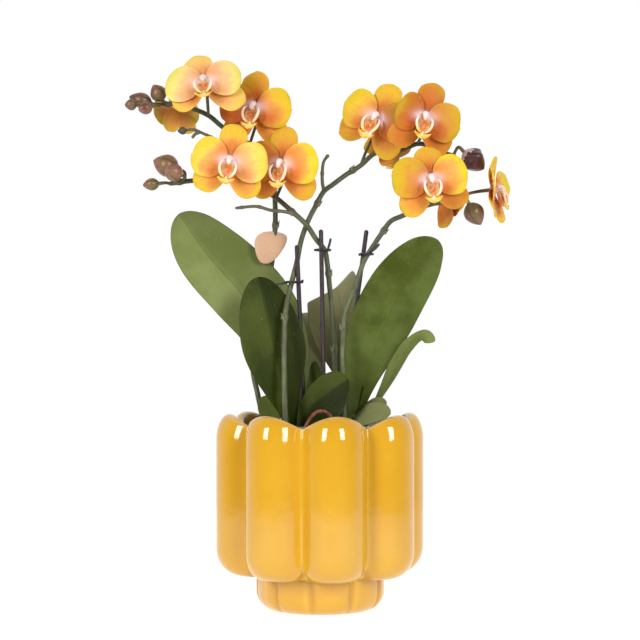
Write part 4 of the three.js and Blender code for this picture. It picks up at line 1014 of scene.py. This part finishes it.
petal = Finish(
    "petal_orange",
    Roughness=0.5,
    Specular_IOR_Level=0.16,
    Subsurface_Weight=0.2,
    Subsurface_Scale=0.0014,
    Subsurface_Radius=(1.0, 0.55, 0.2),
)
petal_strand = petal.node(
    "CombineXYZ",
    {
        "X": petal.mark("along", 2.2),
        "Y": petal.mark("across", 9),
        "Z": petal.mark("tone", 40),
    },
).outputs["Vector"]
petal_veins = petal.noise(petal_strand, 1.6, 4)
petal_cloud = petal.noise(petal.place(), 60, 3)
petal_reach = petal.maths("ADD", petal.mark("along"), petal.span(petal_cloud, 0.25, 0.75, -0.22, 0.22))
petal_reach = petal.maths("ADD", petal_reach, petal.span(petal.mark("margin"), 0.4, 1.0, 0.0, 0.25))
petal_reach = petal.maths("ADD", petal_reach, petal.span(petal.mark("high"), -0.7, 0.6, -0.2, 0.08))
PETAL_RAMPS = [  # pale, golden and terracotta, from the heart to the edge
    [
        (0.15, (0.82, 0.40, 0.20)), (0.5, (0.86, 0.52, 0.24)), (0.72, (0.87, 0.68, 0.22)),
        (1.0, (0.82, 0.69, 0.15)),
    ],
    [
        (0.15, (0.72, 0.23, 0.03)), (0.45, (0.80, 0.38, 0.07)), (0.68, (0.82, 0.575, 0.035)),
        (1.0, (0.78, 0.57, 0.02)),
    ],
    [
        (0.15, (0.34, 0.05, 0.005)), (0.5, (0.46, 0.115, 0.015)), (0.75, (0.49, 0.165, 0.01)),
        (1.0, (0.50, 0.26, 0.01)),
    ],
]
petal_pale, petal_gold, petal_clay = [petal.ramp(petal_reach, stops) for stops in PETAL_RAMPS]
petal_colour = petal.blend(petal.span(petal.mark("tone"), 0.0, 0.5), petal_pale, petal_gold)
petal_colour = petal.blend(petal.span(petal.mark("tone"), 0.5, 1.0), petal_colour, petal_clay)
petal_sepal = petal.span(petal.mark("petal"), 0.0, 1.0, 0.35, 0.0)
petal_colour = petal.blend(petal_sepal, petal_colour, (0.72, 0.29, 0.04))
petal_front = petal.span(petal.mark("face"), -0.2, 0.2)
# The red patch round the heart is red veining, and also painted shade where the tepals overlap, stronger on
# darker blooms.
petal_ember = petal.maths("MULTIPLY", petal.mark("ember"), petal.span(petal_veins, 0.3, 0.7, 0.45, 1.0))
petal_ember = petal.maths("MULTIPLY", petal_ember, petal_front)
petal_ember = petal.maths("MULTIPLY", petal_ember, petal.span(petal.mark("tone"), -0.1, 0.7, 0.45, 1.0))
petal_colour = petal.blend(petal_ember, petal_colour, (0.54, 0.10, 0.014))
petal_vein = petal.span(petal_veins, 0.5, 0.74, 0.0, 0.28)
petal_colour = petal.blend(petal_vein, petal_colour, (0.66, 0.20, 0.03))
petal_moss = petal.maths("MULTIPLY", petal.mark("margin"), petal.span(petal_cloud, 0.42, 0.68, 0.0, 0.36))
petal_colour = petal.blend(petal_moss, petal_colour, (0.50, 0.42, 0.03))
petal_whitest = petal.span(petal.mark("petal"), 0.0, 1.0, 0.5, 0.95)
petal_heart = petal.maths("MINIMUM", petal.mark("glow"), petal_whitest)
petal_heart = petal.maths("MULTIPLY", petal_heart, petal_front)
petal.paint("Base Color", petal.blend(petal_heart, petal_colour, (0.92, 0.72, 0.72)))
petal.bump(petal_veins, 0.00018)

for number, bloom in enumerate(BLOOMS, 1):
    to_plant = bloom_frame(bloom)
    hub = moved(egg((HUB[0], HUB[0], HUB[1]), along=0.05, tone=bloom["tone"], glow=0.6), to_plant)
    turns = bloom.get("turns", (0,) * 5)
    reaches = bloom.get("reach", (1,) * 5)
    shades = bloom.get("shades", (0,) * 5)
    tepals = [tepal_skin(*each, bloom, to_plant) for each in zip(TEPALS, turns, reaches, shades)]
    make_piece(f"bloom_{number}_corolla", [hub, *tepals], petal, "petal_orange", f"bloom_{number}_petals")


# Lips: a fleshy white column grows from each bloom's hub and stands over its lip, whose side lobes
# rise like horns and close in below. The throat between them is orange red, and the lip ends in a
# yellow anchor with two points.
lip = Finish(
    "lip_cream", Roughness=0.42, Specular_IOR_Level=0.3, Subsurface_Weight=0.08, Subsurface_Scale=0.001
)
lip_cloud = lip.span(lip.noise(lip.place(), 480, 4, 0.7), 0.3, 0.7, -0.12, 0.14)
lip_colour = lip.ramp(
    lip.maths("ADD", lip.mark("ink"), lip_cloud),
    [
        (0.0, (0.86, 0.70, 0.76)), (0.2, (0.90, 0.76, 0.68)), (0.36, (0.92, 0.68, 0.38)),
        (0.5, (0.90, 0.60, 0.07)), (0.72, (0.76, 0.26, 0.05)), (1.0, (0.46, 0.06, 0.035)),
    ],
)
lip_red = lip.maths("MULTIPLY", lip.mark("red"), lip.span(lip_cloud, -0.12, 0.14, 0.7, 1.0))
lip.paint("Base Color", lip.blend(lip_red, lip_colour, (0.50, 0.085, 0.018)))

# In a bloom's own frame: right, up and out of its face
COLUMN_PATH = [(0, 1.4, 2.8), (0, 1.4, 5.0), (0, -0.2, 6.9), (0, -3.0, 7.6)]
COLUMN_RADIUS = (1.9, 1.0)
HORN_PATH = [(1.2, -11.2, 7.6), (3.4, -9.2, 8.4), (4.8, -5.8, 8.4), (4.7, -2.6, 7.4), (3.2, -0.6, 6)]
HORN_RADIUS = (0.45, 0.88)  # at its ends and in its middle
THROAT_THICKNESS = 0.8
THROAT_START = (-1.2, 4.2)  # up and out of the face
THROAT_LENGTH = 11
THROAT_HALF_WIDTH = (1.2, 3.5)
ANCHOR_THICKNESS = 0.85
ANCHOR_SPAN = 5.2
ANCHOR_AT = (-13.6, 8.2)  # up and out of the face
ANCHOR_HALF_HEIGHT = (0.15, 1.5)
ANCHOR_TOOTH = (2.2, 0.8)  # height and half width
CALLUS = (1.0, 1.2, 0.8)
CALLUS_AT = (0, -6.4, 6.4)


def lip_skins(to_plant):
    """The column is a stout tube and each horn a thin one. The throat is a blade that swells between
    them, and the anchor a blade from tip to tip, bent up as a parabola, with a tooth in its middle."""
    steps = np.linspace(0, 1, 22)
    column_radius = mix(*COLUMN_RADIUS, steps) * domed(22, 7)
    column = tube(smooth_path(COLUMN_PATH, 22), column_radius, 18, ink=0.1, red=0.35 * steps**4)
    skins = [moved(column, lambda points: points * (1.25, 1, 1))]
    run = np.linspace(0, 1, 30)
    for hand in (-1, 1):
        path = smooth_path([(hand * x, y, z) for x, y, z in HORN_PATH], 30)
        radius = mix(*HORN_RADIUS, np.sin(np.pi * run**0.8)) * domed(30, 6)
        skins.append(tube(path, radius, 14, ink=0.2 + 0.25 * (1 - run) ** 2))
    skins = [moved(body, to_plant) for body in skins]

    def throat(u, v):
        u = np.clip(u, 0, 1)
        x = v * mix(*THROAT_HALF_WIDTH, np.sin(np.pi * u**0.8)) * np.sqrt(1 - 0.9 * u**8)
        y = THROAT_START[0] - THROAT_LENGTH * u
        z = THROAT_START[1] + 2.6 * np.sin(0.7 * np.pi * u) + 1.2 * v**2 * np.sin(np.pi * u)
        return to_plant(np.stack(np.broadcast_arrays(x, y, z), axis=-1))

    def anchor(u, v):
        side = 2 * np.clip(u, 0, 1) - 1
        high = mix(*ANCHOR_HALF_HEIGHT, (1 - side**2) ** 0.7)
        tooth = ANCHOR_TOOTH[0] * bell(side * ANCHOR_SPAN, ANCHOR_TOOTH[1]) * np.maximum(v, 0)
        y = ANCHOR_AT[0] + 2.6 * side**2 + v * high + tooth
        z = ANCHOR_AT[1] - 0.8 * v
        return to_plant(np.stack(np.broadcast_arrays(ANCHOR_SPAN * side, y, z), axis=-1))

    def redness(u, v):
        return mix(np.exp(-(((u - 0.5) / 0.4) ** 4)), 0.25, v**6)

    skins.append(blade(throat, lambda u, v: THROAT_THICKNESS, 36, 24, ink=0.42, red=redness))
    skins.append(blade(anchor, lambda u, v: ANCHOR_THICKNESS, 40, 16, ink=lambda u, v: 0.47 - 0.12 * v))
    callus = egg(CALLUS, ink=0.66, red=0.3)
    return [*skins, moved(callus, lambda points: to_plant(points + CALLUS_AT))]


for number, bloom in enumerate(BLOOMS, 1):
    skins = lip_skins(bloom_frame(bloom))
    make_piece(f"bloom_{number}_lip_and_column", skins, lip, "lip_cream", f"bloom_{number}_lip")


# Buds: nine closed ones, plump and slightly pointed, of three sepals that meet in faint seams.
# They are mauve brown and olive with a soft bloom on the skin, and the one that is dark maroon has
# begun to wither and open.

# Each bud: its middle, the way it points, its length, its radius and its tone
BUDS = [
    {"at": (-101, -8, 321), "axis": (-0.5, -0.3, 0.8), "length": 11.5, "radius": 5.2, "tone": 0.45},
    {"at": (-112.3, -3, 317), "axis": (-0.95, 0, 0.3), "length": 15, "radius": 5, "tone": 0.55},
    {"at": (-117.4, -12.5, 313), "axis": (-0.9, -0.4, -0.1), "length": 8, "radius": 3.6, "tone": 0.6},
    {"at": (-108.3, -15, 310.5), "axis": (-0.75, -0.6, -0.3), "length": 10, "radius": 4, "tone": 0.4},
    {"at": (-95.8, -11, 275.6), "axis": (-0.9, 0.1, 0.35), "length": 17, "radius": 7, "tone": 0.3},
    {"at": (-90.1, -25, 270), "axis": (-0.6, -0.75, 0.2), "length": 12.5, "radius": 5.6, "tone": 0.35},
    {"at": (-104.5, -16, 263.3), "axis": (-0.97, 0, -0.1), "length": 10.4, "radius": 3.9, "tone": 0.4},
    {"at": (95.5, -4, 279.3), "axis": (0.75, 0, -0.66), "length": 17, "radius": 7.4, "tone": 1.0},
    {"at": (95.4, -12, 245.3), "axis": (0.5, 0, -0.87), "length": 15.5, "radius": 6.4, "tone": 0.45},
]
WITHERED = 1.0  # the tone that stands for a withered bud


def bud_skin(bud, rows=30, around=36):
    """A pointed egg along its axis: the radius is a power of a sine of the way along, and three shallow
    seams run down it. A withered one is dented by two waves."""
    way = unit(np.array(bud["axis"], float))
    run = (1 - np.cos(np.linspace(0.08, np.pi, rows))) / 2
    path = np.array(bud["at"], float) + way * ((run - 0.5) * bud["length"])[:, None]
    girth = bud["radius"] * np.sin(np.pi * np.clip(run, 0, 0.995) ** 0.85) ** 0.72
    turn = 2 * np.pi * np.arange(around) / around
    seam = bell(np.sin(1.5 * turn), 0.16)[:, None]
    radius = girth * (1 - 0.06 * seam * np.sin(np.pi * run))
    if bud["tone"] == WITHERED:
        dents = 0.09 * np.sin(4 * turn[:, None] + 7 * run) + 0.06 * np.sin(2 * turn[:, None] - 11 * run)
        radius = radius * (1 + dents * np.sin(np.pi * run))
    return tube(path, radius, around, tone=bud["tone"], along=run, seam=seam)


bud_brown = Finish("bud_brown", Roughness=0.36, Subsurface_Weight=0.1, Subsurface_Scale=0.001)
bud_cloud = bud_brown.noise(bud_brown.place(), 110, 3)
bud_spread = bud_brown.span(bud_cloud, 0.3, 0.7, -0.45, 0.45)
bud_colour = bud_brown.ramp(
    bud_brown.maths("ADD", bud_brown.mark("along"), bud_spread),
    [
        (0.0, (0.15, 0.12, 0.035)), (0.35, (0.21, 0.12, 0.05)), (0.7, (0.28, 0.115, 0.075)),
        (1.0, (0.14, 0.05, 0.03)),
    ],
)
bud_deep = bud_brown.span(bud_brown.mark("tone"), 0.3, 0.6, 0.0, 0.5)
bud_colour = bud_brown.blend(bud_deep, bud_colour, (0.10, 0.05, 0.03))
bud_colour = bud_brown.blend(bud_brown.mark("seam", 0.65), bud_colour, (0.05, 0.03, 0.012))
bud_brown.paint("Base Color", bud_colour)
bud_dark = Finish("bud_dark", Roughness=0.36, Coat_Weight=0.1)
bud_dark_cloud = bud_dark.noise(bud_dark.place(), 230, 4)
bud_dark_skin = bud_dark.ramp(
    bud_dark_cloud,
    [(0.3, (0.03, 0.008, 0.007)), (0.55, (0.075, 0.016, 0.014)), (0.8, (0.15, 0.045, 0.035))],
)
bud_ragged = bud_dark.span(bud_dark_cloud, 0.3, 0.7, -0.12, 0.12)
bud_whole = bud_dark.span(bud_dark.maths("ADD", bud_dark.mark("along"), bud_ragged), 0.16, 0.2)
bud_dark.paint("Base Color", bud_dark.blend(bud_whole, (0.66, 0.46, 0.45), bud_dark_skin))
bud_dark.bump(bud_dark_cloud, 0.0006)
for number, bud in enumerate(BUDS, 1):
    finish, slot = (bud_dark, "bud_dark") if bud["tone"] == WITHERED else (bud_brown, "bud_brown")
    make_piece(f"bud_{number}_closed", [bud_skin(bud)], finish, slot, f"bud_{number}")


# Flower spikes: four woody green stems, mottled with purple brown and darker towards their tops.
# They swell at joints under dry papery bracts, arch over, and carry blooms and buds on thin stalks.
# Dead side twigs stand out where old flowers were.

# Each spike: points up its stem, its joints as shares of the stem's length, its dead twigs, the tiny
# buds at their tips, and where each stalk starts, what it goes by and which bloom or bud it carries
SPIKES = {
    "spike_back_left": {
        "stem": [
            (-33, 12, 92), (-34.5, 13, 108), (-39.7, 18, 132.5), (-43, 22, 149.5), (-39.9, 24, 177),
            (-33.4, 20, 202.4), (-29.4, 14, 227.5), (-28.6, 10, 252.3), (-31, 9, 274), (-39.1, 9, 286.9),
            (-50.3, 7, 294), (-61.5, 5, 301.2), (-70.1, 0, 307.8), (-81.3, -3, 312.2), (-92, -5, 314.4),
            (-99.3, -5.2, 314.4),
        ],
        "joints": (0.27, 0.56, 0.8),
        "twigs": [
            [(-47, 8, 291), (-59.7, 4, 291), (-72.1, 0, 296), (-79.6, -1.5, 298.8), (-84.5, -2.5, 298.2)],
            [(-76, -0.8, 297.4), (-78.5, -1.5, 295.8), (-80.2, -2, 293.5)],
        ],
        "tip_buds": [
            {"at": (-86.3, -2.8, 298), "axis": (-1, -0.2, -0.1), "length": 6, "radius": 2.5, "tone": 0.2},
        ],
        "stalks": [
            {"from": (-70.1, 0, 307.8), "by": [(-70, -7, 311.5)], "bloom": 0},
            {"from": (-45, 8.3, 289.8), "by": [(-42.5, 12, 298)], "bloom": 1},
            {"from": (-81.3, -3, 312.2), "by": [(-82.5, 2, 315)], "bloom": 4},
            {"from": (-92, -5, 314.4), "by": [], "bud": 0},
            {"from": (-98.8, -5.2, 314.3), "by": [], "bud": 1},
            {"from": (-97.8, -5.2, 314.2), "by": [(-105, -9, 313.8)], "bud": 2},
            {"from": (-95.8, -5.1, 314.1), "by": [], "bud": 3},
        ],
    },
    "spike_left": {
        "stem": [
            (10.4, 2, 92), (10, 2, 108), (9.1, 2, 123.5), (8.8, 2, 144.8), (8.5, 2, 164.2), (7.8, 2, 178.6),
            (5.9, 0.5, 198.6), (4.1, -1.2, 216), (2.6, -2, 223.3), (-2.8, -4, 230.2), (-8.7, -8, 238.8),
            (-17.1, -7, 246.7), (-27.6, -3, 255.9), (-38.7, -2, 262.6), (-49.8, -3, 266.3),
            (-65.2, -6, 266.9), (-78.8, -9.5, 266.2), (-88, -13, 264.8), (-94.1, -15, 263.6),
        ],
        "joints": (0.28, 0.47, 0.66, 0.97),
        "twigs": [
            [
                (-15.8, -7.5, 245.5), (-22.6, -9, 247), (-31.3, -9.5, 247.9), (-39.4, -9.5, 250.1),
                (-53.1, -8, 249.2),
            ],
        ],
        "tip_buds": [],
        "stalks": [
            {"from": (-60, -5, 266.9), "by": [(-57.5, -14, 271)], "bloom": 2},
            {"from": (-27.6, -3, 255.9), "by": [(-24, -3, 265)], "bloom": 3},
            {"from": (-84, -11.5, 265.4), "by": [], "bud": 4},
            {"from": (-86, -12.3, 265.1), "by": [], "bud": 5},
            {"from": (-93, -14.7, 263.8), "by": [], "bud": 6},
        ],
    },
    "spike_right_upper": {
        "stem": [
            (-20.8, -27, 92), (-21, -27, 108), (-21.4, -27.5, 121.4), (-21.9, -27, 136.7),
            (-22.2, -25.5, 161.1), (-21.5, -21, 183.9), (-18.9, -15, 198.2), (-14.6, -10, 215.8),
            (-12.1, -5, 229), (-7.8, -1, 241.6), (-2.8, 0, 251.5), (2.2, 0, 260.3), (7.8, 0, 264.6),
            (15.9, 2, 270.8), (25.2, 4, 276.9), (33.9, 5, 284.4), (42.1, 5, 285.8), (50.8, 4, 286.5),
            (60.9, 3, 290.4), (69.7, 2, 288.6), (78.3, 0, 284), (85, -2, 282.2),
        ],
        "joints": (0.33, 0.62, 0.735),
        "twigs": [
            [(2.2, 0, 260.3), (1.2, -0.5, 266), (1.2, -1, 273.3), (2.1, -1, 278.9), (5.1, -1.5, 283.2)],
        ],
        "tip_buds": [],
        "stalks": [
            {"from": (25.2, 4, 276.9), "by": [(29.5, 8.5, 288)], "bloom": 5},
            {"from": (60.9, 3, 290.4), "by": [(63.5, -5, 296.5)], "bloom": 6},
            {"from": (33.9, 5, 284.4), "by": [(39, 5, 291)], "bloom": 8},
            {"from": (83, -1.4, 282.7), "by": [], "bud": 7},
        ],
    },
    "spike_right_lower": {
        "stem": [
            (15, -8, 92), (15, -8, 108), (14.6, -9, 123.9), (14, -9, 146.2), (14, -9, 167.3),
            (15.5, -8, 184.7), (20.8, -6.5, 198.4), (24.6, -5.6, 209.6), (27.1, -5, 216.5),
            (32, -5, 224.5), (38.2, -6, 233.8), (43.8, -7, 241.2), (50.6, -8, 244.3), (58.6, -9, 247.9),
            (69.2, -8, 251.7), (79.1, -9, 252.9), (86, -11, 252.4),
        ],
        "joints": (0.41, 0.74),
        "twigs": [],
        "tip_buds": [],
        "stalks": [
            {"from": (60, -9, 248.4), "by": [(61.5, -20, 252)], "bloom": 7},
            {"from": (73, -8.4, 252.2), "by": [(75, -4, 255)], "bloom": 9},
            {"from": (84, -10.4, 252.6), "by": [(91, -12, 257.5)], "bloom": 10},
            {"from": (84.5, -10.6, 252.5), "by": [], "bud": 8},
        ],
    },
}
STEM_RADIUS = (1.75, 1.5)  # at the bark and at the end
STALK_RADIUS = 0.95
STALK_SWELL = 1.35  # times wider at the flower
TWIG_RADIUS = (1.15, 0.9)
TWIG_KNOT = 0.25
JOINT = (0.55, 1.7)  # how far a joint swells, and half its length
BRACT_THICKNESS = 0.45


def path_length(path):
    """Length of a path of points."""
    return np.linalg.norm(np.diff(path, axis=0), axis=1).sum()


def stem_skins(spike):
    """The main stem thickens as a bell curve at each joint, and a bract wraps half round it there."""
    path = smooth_path(spike["stem"], 260)
    run = np.linspace(0, 1, len(path))
    reach = path_length(path)
    radius = mix(*STEM_RADIUS, run)
    for joint in spike["joints"]:
        radius = radius + JOINT[0] * bell((run - joint) * reach, JOINT[1])
    skins = [tube(path, radius * domed(len(path), 3), 16, dry=0.0, blush=0.0)]
    for count, joint in enumerate(spike["joints"]):
        index = int(joint * (len(path) - 1))
        skins.append(bract(path, index, radius[index], hand=(-1) ** count))
    return skins


def bract(path, index, radius, hand):
    """A small dry scale: a blade bent to an arc round the stem, which tapers to a point up along it."""
    heading = unit(path[index + 2] - path[index])
    side = unit(np.cross(heading, (0, 1, 0))) * hand
    front = np.cross(heading, side)

    def middle(u, v):
        u = np.clip(u, 0, 1)
        arc = v * 1.5 * (1 - u**1.6)
        off = radius + 0.2 + 0.15 * u
        ring = side * np.cos(arc)[..., None] + front * np.sin(arc)[..., None]
        return path[index] + heading * (4.6 * u - 1)[..., None] + ring * off[..., None]

    return blade(middle, lambda u, v: BRACT_THICKNESS, 14, 16, dry=1.0, blush=0.0)


def stalk_skin(stalk):
    """A thin stalk that meets the back of its bloom or the base of its bud, and thickens there."""
    if "bloom" in stalk:
        bloom = BLOOMS[stalk["bloom"]]
        ends = bloom_frame(bloom)(np.array([(0, 0, -10), (0, 0, -HUB[1] * 0.8)]))
    else:
        bud = BUDS[stalk["bud"]]
        way = unit(np.array(bud["axis"], float))
        base = np.array(bud["at"], float) - way * bud["length"] / 2
        ends = np.array([base - way * 4, base + way * 0.6])
    path = smooth_path([stalk["from"], *stalk["by"], *ends], 60)
    run = np.linspace(0, 1, 60)
    return tube(path, STALK_RADIUS * mix(1.0, STALK_SWELL, run**3), 12, dry=0.0, blush=run**2)


def twig_skin(points):
    """A dead side twig with small knots, snapped at the end."""
    path = smooth_path(points, 70)
    run = np.linspace(0, 1, 70)
    knots = TWIG_KNOT * bell(np.sin(run * path_length(path) / 3.6), 0.3)
    return tube(path, (mix(*TWIG_RADIUS, run) + knots) * domed(70, 2), 12, dry=0.45, blush=0.0)


stem = Finish("stem_green", Roughness=0.46, Specular_IOR_Level=0.4)
stem_cloud = stem.noise(stem.place((1, 1, 0.35)), 300, 5, 0.6)
stem_colour = stem.ramp(
    stem_cloud,
    [
        (0.3, (0.05, 0.058, 0.022)), (0.45, (0.082, 0.10, 0.04)), (0.6, (0.12, 0.14, 0.06)),
        (0.8, (0.18, 0.2, 0.1)),
    ],
)
stem_mottle = stem.span(stem.noise(stem.place(), 60, 2), 0.5, 0.64, 0.0, 0.4)
stem_colour = stem.blend(stem_mottle, stem_colour, (0.07, 0.052, 0.035))
stem_height = stem.node("SeparateXYZ", {"Vector": stem.place()}).outputs["Z"]
stem_colour = stem.blend(stem.span(stem_height, 0.19, 0.27, 0.0, 0.6), stem_colour, (0.058, 0.056, 0.03))
stem_colour = stem.blend(stem.mark("blush", 0.6), stem_colour, (0.26, 0.15, 0.06))
stem_colour = stem.blend(stem.mark("dry"), stem_colour, (0.155, 0.14, 0.085))
stem.paint("Base Color", stem_colour)
stem.bump(stem_cloud, 0.00025)

for name, spike in SPIKES.items():
    skins = stem_skins(spike)
    skins += [twig_skin(points) for points in spike["twigs"]]
    skins += [stalk_skin(stalk) for stalk in spike["stalks"]]
    skins += [bud_skin(bud) for bud in spike["tip_buds"]]
    make_piece(f"{name}_stem", skins, stem, "stem_green", name)


# Clips: three ties of black plastic-coated wire. Each is bent in a loop round a stake and its
# stem, with two free tails.

# Each clip: its loop's middle, two half widths and turn in degrees, and the points of its tails
CLIPS = {
    "clip_left": {
        "at": (-16, -15.2, 203), "loop": (5.6, 4.2), "turn": 50,
        "tails": [
            [(-20, -16, 203), (-24, -18, 202), (-27.5, -19, 201.3)],
            [(-12, -15, 203), (-11.4, -16, 203.5), (-10.8, -17, 204)],
        ],
    },
    "clip_middle": {
        "at": (1.6, -3.8, 223.4), "loop": (5.4, 4.4), "turn": 65,
        "tails": [
            [(4.6, -6.5, 223.8), (5.6, -7.6, 227), (6.4, -8, 230.5)],
            [(-1.4, -7.2, 223.4), (-2.7, -7.9, 223.2), (-4, -8.5, 223)],
        ],
    },
    "clip_right": {
        "at": (28.6, -3.6, 220.8), "loop": (5.4, 4), "turn": -75,
        "tails": [
            [(30.5, -8, 221.5), (34, -9.5, 224), (36.6, -10, 227)],
            [(26, -6, 220.5), (24.8, -6.5, 220.4), (23.6, -7, 220.3)],
        ],
    },
}
WIRE_RADIUS = 0.75


def turned(x, y, degrees):
    """Two coordinates turned round the upright axis."""
    turn = np.radians(degrees)
    return x * np.cos(turn) - y * np.sin(turn), x * np.sin(turn) + y * np.cos(turn)


def clip_skins(clip):
    """The loop is a wire bent in an ellipse, level and turned, and each tail a short curved wire."""
    swing = np.linspace(0, 2 * np.pi, 61)
    x, y = turned(clip["loop"][0] * np.cos(swing), clip["loop"][1] * np.sin(swing), clip["turn"])
    skins = [tube(np.stack([x, y, 0 * x], axis=1) + clip["at"], WIRE_RADIUS, 10)]
    for tail in clip["tails"]:
        skins.append(tube(smooth_path(tail, 24), WIRE_RADIUS * domed(24, 3), 10))
    return skins


clip_finish = Finish("clip_black", Roughness=0.4)
clip_cloud = clip_finish.noise(clip_finish.place(), 600, 2)
clip_colour = clip_finish.ramp(clip_cloud, [(0.3, (0.008, 0.007, 0.008)), (0.8, (0.03, 0.026, 0.028))])
clip_finish.paint("Base Color", clip_colour)
clip_finish.bump(clip_cloud, 0.0001)
for name, clip in CLIPS.items():
    make_piece(f"{name}_wire", clip_skins(clip), clip_finish, "clip_black", name)


# Tag: a bare card punched from uncoated peach board in a rounded three-cornered outline. It is
# slipped on the back left stem.
TAG_AT = (-31.5, 11.3, 225.6)
TAG_TURN = 20  # degrees
TAG_THICKNESS = 1.0
TAG_OUTLINE = [  # clockwise from the upper left corner: the point that each stretch bends to, and its end
    ((-6, 10.6), (1.5, 10.3)), ((10.6, 9.6), (10.9, 6.6)), ((11.4, 3.2), (6.4, -3.4)),
    ((1.2, -10.3), (-3.6, -10.2)), ((-8.2, -10.2), (-10, -2.4)), ((-11.4, 4), (-9.2, 6.8)),
]


def tag_skin():
    """The outline's stretches are parabolas. Rings run from the back's middle out to the edge, round
    it in a small quarter circle at each face, and in to the front's middle."""
    start = np.array(TAG_OUTLINE[-1][1])
    edge = []
    for bend, end in TAG_OUTLINE:
        t = np.linspace(0, 1, 12, endpoint=False)[:, None]
        edge.append((1 - t) ** 2 * start + 2 * t * (1 - t) * np.array(bend) + t**2 * np.array(end))
        start = np.array(end)
    edge = np.concatenate(edge)
    half = TAG_THICKNESS / 2
    rows = [(0.3, -half), (0.8, -half), (0.97, -half), (0.992, -half * 0.8), (1, -half * 0.4)]
    rows += [(share, -depth) for share, depth in rows[::-1]]
    grid = []
    for share, depth in rows:
        x, y = turned(edge[:, 0] * share, depth, TAG_TURN)
        grid.append(np.stack([x, y, edge[:, 1] * share], axis=1))
    return skin(np.array(grid) + TAG_AT - (0, half, 0))


tag = Finish("tag_card", Roughness=0.82, Specular_IOR_Level=0.2)
tag_fibre = tag.noise(tag.place((1, 1, 3)), 700, 5, 0.7)
tag_colour = tag.ramp(
    tag_fibre, [(0.3, (0.58, 0.36, 0.23)), (0.55, (0.62, 0.39, 0.255)), (0.75, (0.66, 0.43, 0.29))]
)
tag.paint("Base Color", tag_colour)
tag.bump(tag_fibre, 0.00012)
make_piece("bare_tag", [tag_skin()], tag, "tag_card", "tag")
